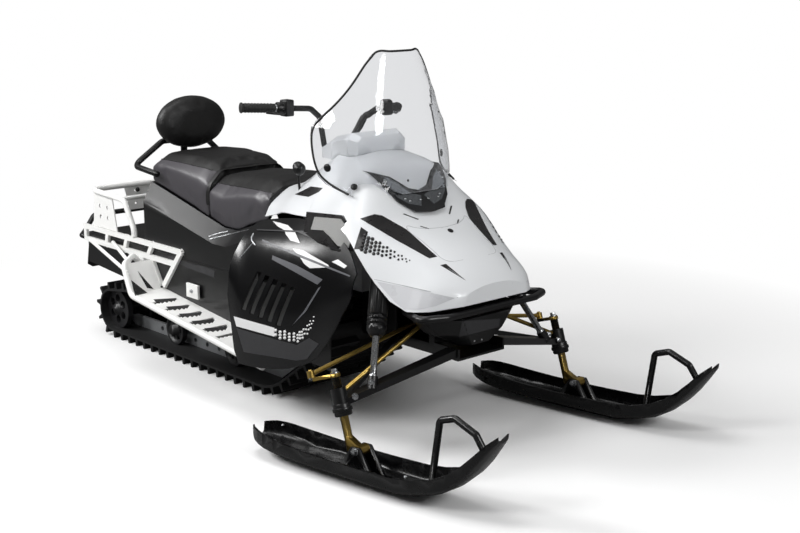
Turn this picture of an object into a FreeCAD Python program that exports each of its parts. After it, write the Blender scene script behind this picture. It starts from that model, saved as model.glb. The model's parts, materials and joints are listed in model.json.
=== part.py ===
import FreeCAD, Part

import math
import os

import Sketcher
from FreeCAD import Placement, Rotation, Vector

# A two-seat utility snowmobile.
# Forward is +X, left is +Y and up is +Z, with the ground at Z = 0 and the origin
# under the middle of the machine's bounding box. Lengths are millimetres.

SIZES = {
    # Ground line of the track and its loop round rear idlers, rail fronts and drive sprockets
    "track_width": 500,
    "belt_thickness": 10,
    "lug_height": 30,
    "lug_thickness": 20,
    "lug_pitch": 64,
    "lug_lane_width": 140,
    "lug_lane_gap": 30,
    "idler_x": -1200,
    "idler_radius": 90,
    "rail_bend_x": -60,
    "rail_bend_radius": 260,
    "drive_x": 300,
    "drive_height": 345,
    "drive_radius": 86,
    "running_gap": 0.6,
    # Wheels and axles inside the loop
    "wheel_width": 26,
    "wheel_web": 12,
    "wheel_tyre": 13,
    "wheel_window_count": 6,
    "hub_radius": 24,
    "axle_radius": 11,
    "outer_wheel_y": 200,
    "inner_wheel_y": 70,
    "bogie_radius": 66,
    "bogie_y": 165,
    "front_bogie_x": -330,
    "rear_bogie_x": -780,
    "sprocket_y": 115,
    # Slide rails, swing arms and their dampers
    "rail_y": 120,
    "rail_thickness": 14,
    "rail_depth": 52,
    "rail_rear_x": -1225,
    "rail_tip_x": 90,
    "rail_tip_height": 150,
    "rail_hole_radius": 11,
    "rail_hole_pitch": 90,
    "rail_hole_count": 10,
    "arm_tube_radius": 13,
    "front_arm_top_x": 60,
    "front_arm_top_height": 300,
    "rear_arm_top_x": -560,
    "rear_arm_top_height": 235,
    "arm_reach": 190,
    # Tunnel
    "tunnel_width": 554,
    "tunnel_wall": 4,
    "tunnel_rear_x": -1330,
    "tunnel_front_x": 440,
    "tunnel_top": 487,
    "tunnel_edge_rear": 345,
    "tunnel_edge_front": 212,
    # Running boards
    "board_outer_y": 452,
    "board_rear_x": -700,
    "board_front_x": 250,
    "board_rear_height": 330,
    "board_front_height": 222,
    "board_thickness": 5,
    "toe_run": 70,
    "toe_rise": 165,
    "board_rail_radius": 13,
    "slot_width": 26,
    "slot_length": 118,
    "slot_tooth": 8,
    "slot_pitch": 92,
    "slot_count": 6,
    "slot_first_x": -560,
    # Frames on the tunnel's flanks
    "frame_thickness": 14,
    "frame_front_x": -540,
    "frame_top": 514,
    "frame_bar": 22,
    "frame_rail_gap": 36,
    "frame_foot_x": -675,
    # Rack over the tunnel's rear end
    "rack_rear_x": -1262,
    "rack_front_x": -905,
    "rack_height": 694,
    "rack_tube_radius": 13,
    "rack_leg": 30,
    "rack_half_width": 287,
    "rack_plate_thickness": 5,
    "rack_plate_height": 118,
    "rack_plate_half_width": 118,
    "rack_bolt_radius": 4.5,
    "rack_bolt_spacing_y": 120,
    "rack_bolt_spacing_z": 60,
    "gusset_length": 185,
    "gusset_hole_radius": 10,
    # Grab bar and snow flap at the tail
    "grab_reach": 121,
    "grab_height": 462,
    "grab_rise": 66,
    "grab_tube_radius": 12,
    "flap_length": 175,
    "flap_thickness": 6,
    "flap_angle": 12,
    # Seat
    "seat_base_rear_x": -862,
    "seat_base_front_x": 18,
    "seat_base_half_width": 276,
    "seat_base_waist": 215,
    "seat_base_rear_top": 772,
    "seat_base_dip_top": 646,
    "seat_base_front_top": 728,
    "seat_gap": 0.4,
    "cushion_half_width": 218,
    "cushion_top_half_width": 150,
    "front_seat_top": 868,
    "rear_seat_top": 908,
    "seat_split_x": -430,
    "cushion_round": 26,
    # Backrest
    "backrest_x": -862,
    "backrest_middle": 1018,
    "backrest_half_width": 152,
    "backrest_half_height": 116,
    "backrest_thickness": 92,
    "backrest_post_radius": 15,
    "backrest_plate": 70,
    "backrest_plate_thickness": 6,
    "passenger_bar_radius": 13,
    "passenger_bar_half_width": 250,
    # Engine and bulkhead
    "engine_length": 400,
    "engine_width": 380,
    "engine_height": 250,
    "engine_rear_x": 120,
    "engine_foot_length": 90,
    "bulkhead_front_x": 835,
    "bulkhead_tongue_x": 958,
    "bulkhead_half_width": 118,
    "bulkhead_bottom": 335,
    "bulkhead_tongue_top": 378,
    "bulkhead_top": 520,
    "bulkhead_wall": 8,
    "rod_window_rear_x": 632,
    "rod_window_front_x": 808,
    "rod_window_bottom": 372,
    "rod_window_top": 484,
    "tower_tube_radius": 14,
    "tower_leg": 45,
    # Bodywork
    "panel_wall": 6,
    "hood_rear_x": 330,
    "hood_nose_x": 1022,
    "hood_half_width": 345,
    "hood_low": 530,
    "hood_high": 1030,
    "console_half_width": 250,
    "console_low": 750,
    "console_high": 1000,
    "side_rear_x": 20,
    "side_front_x": 700,
    "side_half_width": 478,
    "side_low": 210,
    "side_high": 815,
    "louvre_width": 26,
    "louvre_height": 150,
    "louvre_pitch": 50,
    "louvre_count": 5,
    "louvre_slant": 24,
    "pod_half_width": 135,
    "pod_rear_x": 215,
    "pod_front_x": 420,
    "pod_top": 1092,
    "pod_bottom": 985,
    "lamp_half_width": 172,
    "lamp_depth": 14,
    "lamp_low": 826,
    "lamp_high": 972,
    "lever_x": 170,
    "lever_y": -200,
    "lever_length": 95,
    "lever_knob_radius": 21,
    "lever_stem_radius": 5,
    # Windshield
    "screen_foot_height": 892,
    "screen_top": 1402,
    "screen_foot_x": 640,
    "screen_top_x": 530,
    "screen_half_width": 315,
    "screen_sweep": 216,
    "screen_wall": 4,
    # Nose pan and bumper
    "nose_length": 150,
    "nose_half_width": 240,
    "nose_top": 491,
    "nose_bottom": 379,
    "bumper_tube_radius": 13,
    "bumper_front_x": 1010,
    "bumper_half_width": 318,
    "bumper_height": 524,
    # Front suspension
    "ski_stance": 1118,
    "caster_angle": 18.4,
    "kingpin_foot_x": 893,
    "kingpin_foot_height": 88,
    "kingpin_length": 275,
    "housing_start": 128,
    "housing_length": 96,
    "housing_radius": 27,
    "spindle_radius": 15,
    "spindle_fit": 0.4,
    "steer_arm_length": 85,
    "steer_arm_splay": 28,
    "steer_arm_thickness": 12,
    "steer_arm_width": 26,
    "rod_pin_radius": 6,
    "rod_radius": 8,
    "rod_eye_radius": 13,
    "rod_eye_height": 24,
    "pitman_height": 430,
    "lower_arm_inner_height": 362,
    "lower_arm_front_x": 925,
    "lower_arm_rear_x": 640,
    "lower_arm_section": 38,
    "upper_link_inner_height": 474,
    "upper_link_inner_x": 822,
    "shock_foot_x": 856,
    "shock_foot_y": 430,
    "shock_foot_height": 322,
    "shock_top_x": 712,
    "shock_top_y": 262,
    "shock_top_height": 672,
    "shock_sleeve_radius": 36,
    "shock_sleeve_length": 270,
    "shock_rod_radius": 12,
    "shock_groove_width": 7,
    "shock_groove_depth": 4,
    "shock_seat_radius": 18,
    "shock_seat_length": 46,
    # Skis
    "ski_length": 1057,
    "ski_half_width": 98,
    "ski_wall": 9,
    "ski_tip_rise": 288,
    "ski_tail": 485,
    "ski_pivot_x": 936,
    "ski_pivot_height": 108,
    "runner_half_width": 9,
    "ski_pin_radius": 9,
    "saddle_half_width": 34,
    "saddle_wall": 10,
    "handle_tube_radius": 12,
    # Handlebar and steering
    "steer_angle": 9,
    "column_angle": 30,
    "bar_centre_x": 148,
    "bar_centre_height": 1004,
    "bar_tube_radius": 11,
    "grip_radius": 17,
    "grip_length": 128,
    "bar_half_width": 446,
    "column_radius": 16,
    "column_length": 245,
    "column_bush_wall": 9,
    "column_bush_length": 36,
    # A cut reaches this far past the face it goes through
    "overrun": 5,
}


class Size(float):
    """A number from the sheet together with the expression that gives it."""

    def __new__(cls, number, text):
        size = super().__new__(cls, number)
        size.text = text
        return size

    def __add__(self, other):
        return Size(float(self) + float(other), "({} + {})".format(self.text, words(other)))

    def __radd__(self, other):
        return Size(float(other) + float(self), "({} + {})".format(words(other), self.text))

    def __sub__(self, other):
        return Size(float(self) - float(other), "({} - {})".format(self.text, words(other)))

    def __rsub__(self, other):
        return Size(float(other) - float(self), "({} - {})".format(words(other), self.text))

    def __mul__(self, other):
        return Size(float(self) * float(other), "({} * {})".format(self.text, words(other)))

    def __rmul__(self, other):
        return Size(float(other) * float(self), "({} * {})".format(words(other), self.text))

    def __truediv__(self, other):
        return Size(float(self) / float(other), "({} / {})".format(self.text, words(other)))

    def __neg__(self):
        return Size(-float(self), "(-1 * {})".format(self.text))


def words(value):
    """The text of a value inside an expression."""
    return value.text if isinstance(value, Size) else repr(float(value))


doc = FreeCAD.newDocument("snowmobile")
sheet = doc.addObject("Spreadsheet::Sheet", "sizes")
for row, (alias, number) in enumerate(SIZES.items(), start=1):
    sheet.set("A{}".format(row), alias)
    sheet.set("B{}".format(row), str(number))
    sheet.setAlias("B{}".format(row), alias)
doc.recompute()


class Sheet:
    """Reads a cell of the sheet by its alias."""

    def __getattr__(self, alias):
        return Size(sheet.get(alias), "sizes.{}".format(alias))


s = Sheet()
pieces = {}
UP = Vector(0, 0, 1)
ROUND_SHARE = 0.28
SIDEWAYS = Vector(0, 1, 0)
RIGHT, LEFT = -1, 1


def keep(label, piece):
    """Lists a finished piece under the name of its file."""
    piece.Label = label
    pieces[label] = piece
    return piece


def solid(label, shape, placement=None):
    """Keeps a shape as a piece of its own."""
    feature = doc.addObject("Part::Feature", label)
    feature.Shape = shape
    if placement is not None:
        feature.Placement = placement
    return keep(label, feature)


def mirror_shape(shape):
    """A shape's mirror image in the middle plane."""
    return shape.mirror(Vector(0, 0, 0), SIDEWAYS)


def pair(shape):
    """A left piece and its mirror image, as two solids of one piece."""
    return Part.makeCompound([shape, mirror_shape(shape)])


def new_body(label):
    """An empty body that becomes one piece."""
    return keep(label, doc.addObject("PartDesign::Body", label))


def new_sketch(body, role, name, offset=None):
    """A sketch on one of the body's origin planes, moved along its normal by offset."""
    sketch = body.newObject("Sketcher::SketchObject", name)
    plane = next(feature for feature in body.Origin.OriginFeatures if feature.Role == role)
    sketch.AttachmentSupport = [(plane, "")]
    sketch.MapMode = "FlatFace"
    if offset is not None:
        sketch.setExpression(".AttachmentOffset.Base.z", offset.text)
    return sketch


def bind(sketch, kind, geometry, corner, value):
    """Ties one coordinate of a sketch point to its expression."""
    if float(value) == 0:
        axis = -2 if kind == "DistanceX" else -1
        sketch.addConstraint(Sketcher.Constraint("PointOnObject", geometry, corner, axis))
        return
    index = sketch.addConstraint(Sketcher.Constraint(kind, -1, 1, geometry, corner, float(value)))
    sketch.setExpression("Constraints[{}]".format(index), value.text)


def outline(sketch, points):
    """A closed outline whose every corner follows the sheet."""
    first = sketch.GeometryCount
    corners = [Vector(float(across), float(along), 0) for across, along in points]
    for start, end in zip(corners, corners[1:] + corners[:1]):
        sketch.addGeometry(Part.LineSegment(start, end), False)
    for index in range(len(points)):
        following = first + (index + 1) % len(points)
        sketch.addConstraint(Sketcher.Constraint("Coincident", first + index, 2, following, 1))
    for index, (across, along) in enumerate(points):
        bind(sketch, "DistanceX", first + index, 1, across)
        bind(sketch, "DistanceY", first + index, 1, along)


CENTRE_INDEX = 3


def ring(sketch, across, along, radius):
    """A circle whose centre and radius follow the sheet."""
    centre = Vector(float(across), float(along), 0)
    circle = sketch.addGeometry(Part.Circle(centre, Vector(0, 0, 1), float(radius)), False)
    bind(sketch, "DistanceX", circle, CENTRE_INDEX, across)
    bind(sketch, "DistanceY", circle, CENTRE_INDEX, along)
    index = sketch.addConstraint(Sketcher.Constraint("Radius", circle, float(radius)))
    sketch.setExpression("Constraints[{}]".format(index), radius.text)


def extrude(body, kind, sketch, length, name):
    """A pad or pocket of the sketch, half to each side of its plane."""
    feature = body.newObject("PartDesign::" + kind, name)
    feature.Profile = sketch
    feature.SideType = "Symmetric"
    feature.setExpression("Length", length.text)
    sketch.Visibility = False
    return feature


def along(start, end, share):
    """The value a share of the way from start to end."""
    return start + (end - start) * share


def polygon(points):
    """A closed wire through points."""
    return Part.makePolygon(list(points) + [points[0]])


def prism(points, along):
    """A flat outline extruded along a vector."""
    return Part.Face(polygon(points)).extrude(along)


def rod(start, end, radius):
    """A round bar from one point to another."""
    along = end - start
    return Part.makeCylinder(radius, along.Length, start, along)


def tube(points, radius, bend):
    """A round tube along straight runs that are joined by arcs of one radius."""
    edges = []
    last = points[0]
    for before, corner, after in zip(points, points[1:], points[2:]):
        arriving = (corner - before).normalize()
        leaving = (after - corner).normalize()
        turn = arriving.getAngle(leaving)
        reach = min(bend * math.tan(turn / 2), (corner - before).Length / 2, (after - corner).Length / 2)
        start = corner - arriving * reach
        end = corner + leaving * reach
        halfway = (leaving - arriving).normalize()
        arc_radius = reach / math.tan(turn / 2)
        centre = corner + halfway * (arc_radius / math.cos(turn / 2))
        middle = centre - halfway * arc_radius
        if (start - last).Length > radius / 100:
            edges.append(Part.LineSegment(last, start).toShape())
        edges.append(Part.Arc(start, middle, end).toShape())
        last = end
    edges.append(Part.LineSegment(last, points[-1]).toShape())
    profile = Part.Wire(Part.makeCircle(radius, points[0], points[1] - points[0]))
    return Part.Wire(edges).makePipeShell([profile], True, True)


def fuse(shapes):
    """One solid from shapes that meet."""
    return shapes[0].multiFuse(shapes[1:]).removeSplitter()


def inset(points, wall):
    """An open line of (y, z) points moved sideways by a wall, towards the machine's inside."""
    normals = []
    for (y0, z0), (y1, z1) in zip(points, points[1:]):
        length = math.hypot(y1 - y0, z1 - z0)
        normals.append(((z1 - z0) / length, (y0 - y1) / length))
    moved = []
    for index, (y, z) in enumerate(points):
        one = normals[max(index - 1, 0)]
        other = normals[min(index, len(normals) - 1)]
        spread = 1 + one[0] * other[0] + one[1] * other[1]
        moved.append((y + wall * (one[0] + other[0]) / spread, z + wall * (one[1] + other[1]) / spread))
    return moved


def slopes(places, values):
    """Slopes for a smooth curve through values that never swings past them."""
    rises = [(b - a) / (q - p) for a, b, p, q in zip(values, values[1:], places, places[1:])]
    inner = []
    for one, other in zip(rises, rises[1:]):
        inner.append(0 if one * other <= 0 else 2 * one * other / (one + other))
    return [rises[0]] + inner + [rises[-1]]


def smooth(stations, steps):
    """Stations with more of them between, each corner running on a smooth curve along X."""
    places = [x for x, _ in stations]
    corners = len(stations[0][1])
    tracks = []
    for corner in range(corners):
        for axis in (0, 1):
            values = [points[corner][axis] for _, points in stations]
            tracks.append((values, slopes(places, values)))
    finer = []
    for index in range(len(stations) - 1):
        span = places[index + 1] - places[index]
        for step in range(steps):
            share = step / steps
            numbers = []
            for values, rates in tracks:
                start = values[index] * (1 + 2 * share) * (1 - share) ** 2
                end = values[index + 1] * share ** 2 * (3 - 2 * share)
                leaving = rates[index] * span * share * (1 - share) ** 2
                arriving = rates[index + 1] * span * share ** 2 * (share - 1)
                numbers.append(start + end + leaving + arriving)
            finer.append((places[index] + span * share, list(zip(numbers[::2], numbers[1::2]))))
    return finer + [stations[-1]]


def rounded(points):
    """An open line whose inner corners are each replaced by three points of a curve."""
    line = [points[0]]
    for before, corner, after in zip(points, points[1:], points[2:]):
        start = [along(here, there, ROUND_SHARE) for here, there in zip(corner, before)]
        end = [along(here, there, ROUND_SHARE) for here, there in zip(corner, after)]
        middle = [(a + 2 * here + b) / 4 for a, here, b in zip(start, corner, end)]
        line += [tuple(start), tuple(middle), tuple(end)]
    return line + [points[-1]]


def band(stations, wall, steps):
    """A shell with one wall, ruled through open section lines at several places along X."""
    wires = []
    for x, points in smooth(stations, steps):
        loop = rounded(points) + rounded(inset(points, wall))[::-1]
        wires.append(polygon([Vector(x, y, z) for y, z in loop]))
    return Part.makeLoft(wires, True, True)


def fill(stations, steps, grow):
    """Everything on the inner side of a band's skin, with the skin moved outwards by grow."""
    wires = []
    for x, points in smooth(stations, steps):
        wires.append(polygon([Vector(x, y, z) for y, z in rounded(inset(points, -grow))]))
    return Part.makeLoft(wires, True, True)


# Track loop
BELT_INSIDE = s.lug_height + s.belt_thickness
IDLER_HEIGHT = BELT_INSIDE + s.idler_radius


def loop_turns():
    """Centre, radius and turning angles of the three bends that the belt's inside follows."""
    bends = [
        (s.idler_x, IDLER_HEIGHT, s.idler_radius),
        (s.rail_bend_x, BELT_INSIDE + s.rail_bend_radius, s.rail_bend_radius),
        (s.drive_x, s.drive_height, s.drive_radius),
    ]
    headings = []
    for (x0, z0, r0), (x1, z1, r1) in zip(bends, bends[1:] + bends[:1]):
        distance = math.hypot(x1 - x0, z1 - z0)
        headings.append(math.atan2(z1 - z0, x1 - x0) + math.asin((r0 - r1) / distance))
    turns = []
    for index, (x, z, radius) in enumerate(bends):
        start = headings[index - 1] - math.pi / 2
        end = headings[index] - math.pi / 2
        while end < start:
            end += 2 * math.pi
        turns.append((x, z, radius, start, end))
    return turns


def loop_runs(offset):
    """The arcs and straight runs of the loop, this far outside the belt's inside."""
    runs = []
    turns = loop_turns()
    for (x, z, radius, start, end), following in zip(turns, turns[1:] + turns[:1]):
        reach = radius + offset
        runs.append(("arc", x, z, reach, start, end, reach * (end - start)))
        leave = (x + reach * math.cos(end), z + reach * math.sin(end))
        next_reach = following[2] + offset
        arrive = (following[0] + next_reach * math.cos(following[3]),
                  following[1] + next_reach * math.sin(following[3]))
        length = math.hypot(arrive[0] - leave[0], arrive[1] - leave[1])
        runs.append(("line", leave[0], leave[1], arrive[0], arrive[1], 0, length))
    return runs


def loop_wire(offset, y):
    """The loop as a wire in the plane at y."""
    edges = []
    for kind, a, b, c, d, e, length in loop_runs(offset):
        if kind == "line":
            edges.append(Part.LineSegment(Vector(a, y, b), Vector(c, y, d)).toShape())
        else:
            ends = [Vector(a + c * math.cos(t), y, b + c * math.sin(t)) for t in (d, (d + e) / 2, e)]
            edges.append(Part.Arc(*ends).toShape())
    return Part.Wire(edges)


def loop_place(runs, distance):
    """The point and heading at a distance along the loop."""
    for kind, a, b, c, d, e, length in runs:
        if distance > length:
            distance -= length
            continue
        if kind == "line":
            share = distance / length
            return along(a, c, share), along(b, d, share), math.atan2(d - b, c - a)
        angle = d + distance / c
        return a + c * math.cos(angle), b + c * math.sin(angle), angle + math.pi / 2
    return loop_place(runs, 0)


def lug(x, z, heading, y, width):
    """One paddle that stands on the belt at a place along the loop."""
    half = s.lug_thickness / 2
    root = s.belt_thickness / 2
    tip_share = 0.6
    ahead = Vector(math.cos(heading), 0, math.sin(heading))
    out = Vector(math.sin(heading), 0, -math.cos(heading))
    foot = Vector(x, y, z)
    corners = [foot - ahead * half - out * root, foot + ahead * half - out * root,
               foot + ahead * half * tip_share + out * s.lug_height,
               foot - ahead * half * tip_share + out * s.lug_height]
    return prism(corners, SIDEWAYS * width)


def track():
    """The belt with three lanes of paddles, the middle lane half a pitch ahead."""
    edge = -s.track_width / 2
    outside = Part.Face(loop_wire(s.belt_thickness, edge)).extrude(SIDEWAYS * s.track_width)
    inside = Part.Face(loop_wire(0, edge)).extrude(SIDEWAYS * s.track_width)
    belt = outside.cut(inside)
    runs = loop_runs(s.belt_thickness)
    length = sum(run[-1] for run in runs)
    count = int(round(length / s.lug_pitch))
    pitch = length / count
    lugs = []
    for number in range(count):
        x, z, heading = loop_place(runs, number * pitch)
        lugs.append(lug(x, z, heading, edge, s.lug_lane_width))
        lugs.append(lug(x, z, heading, -edge - s.lug_lane_width, s.lug_lane_width))
        x, z, heading = loop_place(runs, (number + 0.5) * pitch)
        middle_width = s.track_width - 2 * (s.lug_lane_width + s.lug_lane_gap)
        lugs.append(lug(x, z, heading, -middle_width / 2, middle_width))
    return belt.multiFuse(lugs)


solid("track", track())


# Wheels and axles inside the loop
def wheel_line(body, name, half_lengths, radii):
    """Revolves a stepped profile, symmetrical end to end, round the machine's sideways axis."""
    sketch = new_sketch(body, "XY_Plane", name)
    corners = [(s.axle_radius * 0, -half_lengths[-1])]
    for half, radius in reversed(list(zip(half_lengths, radii))):
        corners.append((radius, -half))
        inner = half_lengths.index(half) - 1
        if inner >= 0:
            corners.append((radius, -half_lengths[inner]))
    mirrored_corners = [(across, -1 * height) for across, height in corners[::-1]]
    outline(sketch, corners + mirrored_corners)
    turned = body.newObject("PartDesign::Revolution", name + "Turned")
    turned.Profile = sketch
    turned.ReferenceAxis = (sketch, ["V_Axis"])
    turned.Angle = 360
    sketch.Visibility = False


def wheel_windows(wheel_radius):
    """How far out a wheel's windows lie, and their radius, between its hub and its tyre."""
    web = wheel_radius - s.wheel_tyre - s.hub_radius
    return s.hub_radius + web / 2, web * 0.36


def axle_with_wheels(label, wheel_places, wheel_radius, half_axle):
    """A shaft with dished wheels on it, as one turned body."""
    steps = []
    for y in wheel_places:
        steps.append((y - s.wheel_width, s.axle_radius))
        steps.append((y - s.wheel_width / 2, s.hub_radius))
        steps.append((y + s.wheel_width / 2, wheel_radius))
        steps.append((y + s.wheel_width, s.hub_radius))
    steps.append((half_axle, s.axle_radius))
    body = new_body(label)
    wheel_line(body, label + "Profile", [half for half, _ in steps], [radius for _, radius in steps])
    window_ring, window_radius = wheel_windows(wheel_radius)
    window_sketch = new_sketch(body, "XZ_Plane", label + "Window")
    ring(window_sketch, window_ring * 0, window_ring, window_radius)
    window = extrude(body, "Pocket", window_sketch, half_axle * 2, label + "WindowPocket")
    row = body.newObject("PartDesign::PolarPattern", label + "WindowRow")
    row.Originals = [window]
    row.Axis = (window_sketch, ["N_Axis"])
    row.Angle = 360
    row.setExpression("Occurrences", s.wheel_window_count.text)
    body.Tip = row
    return body


idlers = axle_with_wheels("rear_idlers", (s.inner_wheel_y, s.outer_wheel_y),
                          s.idler_radius - s.running_gap, s.outer_wheel_y + s.wheel_width * 1.2)
idlers.setExpression(".Placement.Base.x", s.idler_x.text)
idlers.setExpression(".Placement.Base.z", IDLER_HEIGHT.text)

drive = axle_with_wheels("drive_axle", (s.sprocket_y,), s.drive_radius - s.running_gap,
                         s.tunnel_width / 2 - s.tunnel_wall - s.running_gap)
drive.setExpression(".Placement.Base.x", s.drive_x.text)
drive.setExpression(".Placement.Base.z", s.drive_height.text)


def bogie_wheel(centre):
    """A dished wheel: a tyre, a thinner web with a ring of windows, and a hub."""
    across = SIDEWAYS * (s.wheel_width / 2)
    web = SIDEWAYS * (s.wheel_web / 2)
    dish_radius = s.bogie_radius - s.wheel_tyre
    shape = rod(centre - across, centre + across, s.bogie_radius)
    cuts = []
    for way in (1, -1):
        cuts.append(rod(centre + web * way, centre + across * (2 * way), dish_radius))
    window_ring, window_radius = wheel_windows(s.bogie_radius)
    for number in range(int(s.wheel_window_count)):
        turn = math.radians(360 * number / s.wheel_window_count)
        place = centre + Vector(math.cos(turn), 0, math.sin(turn)) * window_ring
        cuts.append(rod(place - across * 2, place + across * 2, window_radius))
    hub = rod(centre - across * 2, centre + across * 2, s.hub_radius)
    return fuse([shape.cut(Part.makeCompound(cuts)), hub])


def bogies():
    """Two rows of bogie wheels, each row on its short axle through the rails."""
    height = BELT_INSIDE + s.running_gap + s.bogie_radius
    rows = []
    for x in (s.front_bogie_x, s.rear_bogie_x):
        half = s.bogie_y + s.wheel_width
        shapes = [rod(Vector(x, -half, height), Vector(x, half, height), s.axle_radius)]
        for side in (RIGHT, LEFT):
            shapes.append(bogie_wheel(Vector(x, side * s.bogie_y, height)))
        rows.append(fuse(shapes))
    return Part.makeCompound(rows)


solid("bogie_wheels", bogies())


# Slide rails with their lightening holes
rail = doc.addObject("PartDesign::Body", "slide_rail")
rail_base = BELT_INSIDE + s.running_gap
rail_side = new_sketch(rail, "XZ_Plane", "RailSide", s.rail_y)
outline(rail_side, [
    (s.rail_rear_x, rail_base + s.rail_depth * 0.35),
    (s.rail_rear_x + s.rail_depth * 0.5, rail_base),
    (s.rail_bend_x, rail_base),
    (s.rail_tip_x, rail_base + s.rail_tip_height - s.rail_depth * 0.85),
    (s.rail_tip_x + s.rail_depth * 0.3, rail_base + s.rail_tip_height - s.rail_depth * 0.1),
    (s.rail_tip_x - s.rail_depth * 0.4, rail_base + s.rail_tip_height),
    (s.rail_bend_x - s.rail_depth * 0.7, rail_base + s.rail_depth),
    (s.rail_rear_x + s.rail_depth, rail_base + s.rail_depth),
    (s.rail_rear_x, rail_base + s.rail_depth * 0.8),
])
extrude(rail, "Pad", rail_side, s.rail_thickness, "RailPlate")
doc.recompute()
rail_hole = new_sketch(rail, "XZ_Plane", "RailHole", s.rail_y)
ring(rail_hole, s.rail_bend_x - s.rail_hole_pitch, rail_base + s.rail_depth / 2, s.rail_hole_radius)
holes = extrude(rail, "Pocket", rail_hole, s.rail_thickness * 2, "RailHolePocket")
doc.recompute()
row = rail.newObject("PartDesign::LinearPattern", "RailHoleRow")
row.Originals = [holes]
row.Direction = (rail_hole, ["H_Axis"])
row.Reversed = True
row.setExpression("Length", (s.rail_hole_pitch * (s.rail_hole_count - 1)).text)
row.setExpression("Occurrences", s.rail_hole_count.text)
rail.Tip = row
other_rail = doc.addObject("Part::Mirroring", "other_slide_rail")
other_rail.Source = rail
other_rail.Normal = SIDEWAYS
rails = keep("slide_rails", doc.addObject("Part::Compound", "slide_rails"))
rails.Links = [rail, other_rail]


def skid_arm(top_x, top_height, reach):
    """A welded swing arm: a cross tube at the tunnel, two legs and a cross tube at the rails."""
    radius = s.arm_tube_radius
    half_top = s.tunnel_width / 2 - s.tunnel_wall - s.running_gap
    half_foot = s.rail_y - s.rail_thickness / 2 - s.running_gap
    foot_x = top_x - reach
    foot_height = rail_base + s.rail_depth / 2
    leg_y = half_foot - radius * 1.5
    shapes = [rod(Vector(top_x, -half_top, top_height), Vector(top_x, half_top, top_height), radius),
              rod(Vector(foot_x, -half_foot, foot_height), Vector(foot_x, half_foot, foot_height), radius)]
    for side in (RIGHT, LEFT):
        top = Vector(top_x, side * leg_y, top_height)
        shapes.append(rod(top, Vector(foot_x, side * leg_y, foot_height), radius))
    return fuse(shapes)


solid("skid_arms", Part.makeCompound([
    skid_arm(s.front_arm_top_x, s.front_arm_top_height, s.arm_reach),
    skid_arm(s.rear_arm_top_x, s.rear_arm_top_height, s.arm_reach),
]))


# Tunnel
tunnel = new_body("tunnel")
tunnel_side = new_sketch(tunnel, "XZ_Plane", "TunnelSide")
outline(tunnel_side, [
    (s.tunnel_rear_x, s.tunnel_edge_rear),
    (s.tunnel_front_x, s.tunnel_edge_front),
    (s.tunnel_front_x, s.tunnel_top),
    (s.tunnel_rear_x, s.tunnel_top),
])
extrude(tunnel, "Pad", tunnel_side, s.tunnel_width, "TunnelBlock")
doc.recompute()
tunnel_inside = new_sketch(tunnel, "XZ_Plane", "TunnelInside")
outline(tunnel_inside, [
    (s.tunnel_rear_x - s.overrun, s.tunnel_edge_front - s.overrun),
    (s.tunnel_front_x + s.overrun, s.tunnel_edge_front - s.overrun),
    (s.tunnel_front_x + s.overrun, s.tunnel_top - s.tunnel_wall),
    (s.tunnel_rear_x - s.overrun, s.tunnel_top - s.tunnel_wall),
])
extrude(tunnel, "Pocket", tunnel_inside, s.tunnel_width - s.tunnel_wall * 2, "TunnelChannel")


# Running boards, nose down, with toothed drain slots and an outer rail
board_run = s.board_front_x - s.board_rear_x
board_drop = s.board_rear_height - s.board_front_height
board_slope = board_drop / board_run
board_inner_y = s.tunnel_width / 2


def board_height(x):
    """The running board's middle height at a place along it."""
    return s.board_rear_height - (x - s.board_rear_x) * board_slope


def toothed_slot(x):
    """A slot across the board whose front edge has grip teeth."""
    middle = (board_inner_y + s.board_outer_y) / 2
    start = middle - s.slot_length / 2
    teeth = 6
    step = s.slot_length / teeth
    height = board_height(x) - s.board_thickness * 3
    points = [Vector(x, start, height), Vector(x, start + s.slot_length, height)]
    for tooth in range(teeth):
        end = start + s.slot_length - step * tooth
        points.append(Vector(x + s.slot_width, end, height))
        points.append(Vector(x + s.slot_width - s.slot_tooth, end - step / 2, height))
    points.append(Vector(x + s.slot_width, start, height))
    return prism(points, UP * (s.board_thickness * 6))


def running_board():
    """The left board: a plate with slots and a round rail along its outer edge."""
    half = s.board_thickness / 2
    rear = Vector(s.board_rear_x, board_inner_y, s.board_rear_height - half)
    front = Vector(s.board_front_x, board_inner_y, s.board_front_height - half)
    plate = prism([rear, front, front + UP * s.board_thickness, rear + UP * s.board_thickness],
                  SIDEWAYS * (s.board_outer_y - board_inner_y))
    plate = plate.cut(Part.makeCompound(
        [toothed_slot(s.slot_first_x + s.slot_pitch * number) for number in range(int(s.slot_count))]))
    inner_y = board_inner_y + s.frame_thickness + s.running_gap * 3
    knee = Vector(s.board_rear_x - s.frame_bar * 3, s.board_outer_y - s.frame_bar,
                  along(s.board_rear_height, s.frame_top, 0.62))
    loop = [
        Vector(s.board_front_x, s.board_outer_y, s.board_front_height),
        Vector(s.board_rear_x + s.board_rail_radius * 2, s.board_outer_y, s.board_rear_height),
        knee,
        Vector(s.board_rear_x - s.frame_bar * 6, along(s.board_outer_y, board_inner_y, 0.62),
               along(s.board_rear_height, s.frame_top, 0.72)),
        Vector(s.board_rear_x - s.frame_bar * 7, inner_y + s.board_rail_radius,
               along(s.board_rear_height, s.frame_top, 0.55)),
    ]
    rail_tube = tube(loop, s.board_rail_radius, s.board_rail_radius * 4)
    step_plate = prism([
        Vector(s.board_rear_x, inner_y, s.board_rear_height - half),
        Vector(s.board_rear_x, s.board_outer_y, s.board_rear_height - half),
        knee,
        Vector(knee.x, inner_y, knee.z),
    ], Vector(s.board_thickness, 0, s.board_thickness))
    return fuse([plate, rail_tube, step_plate])


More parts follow.
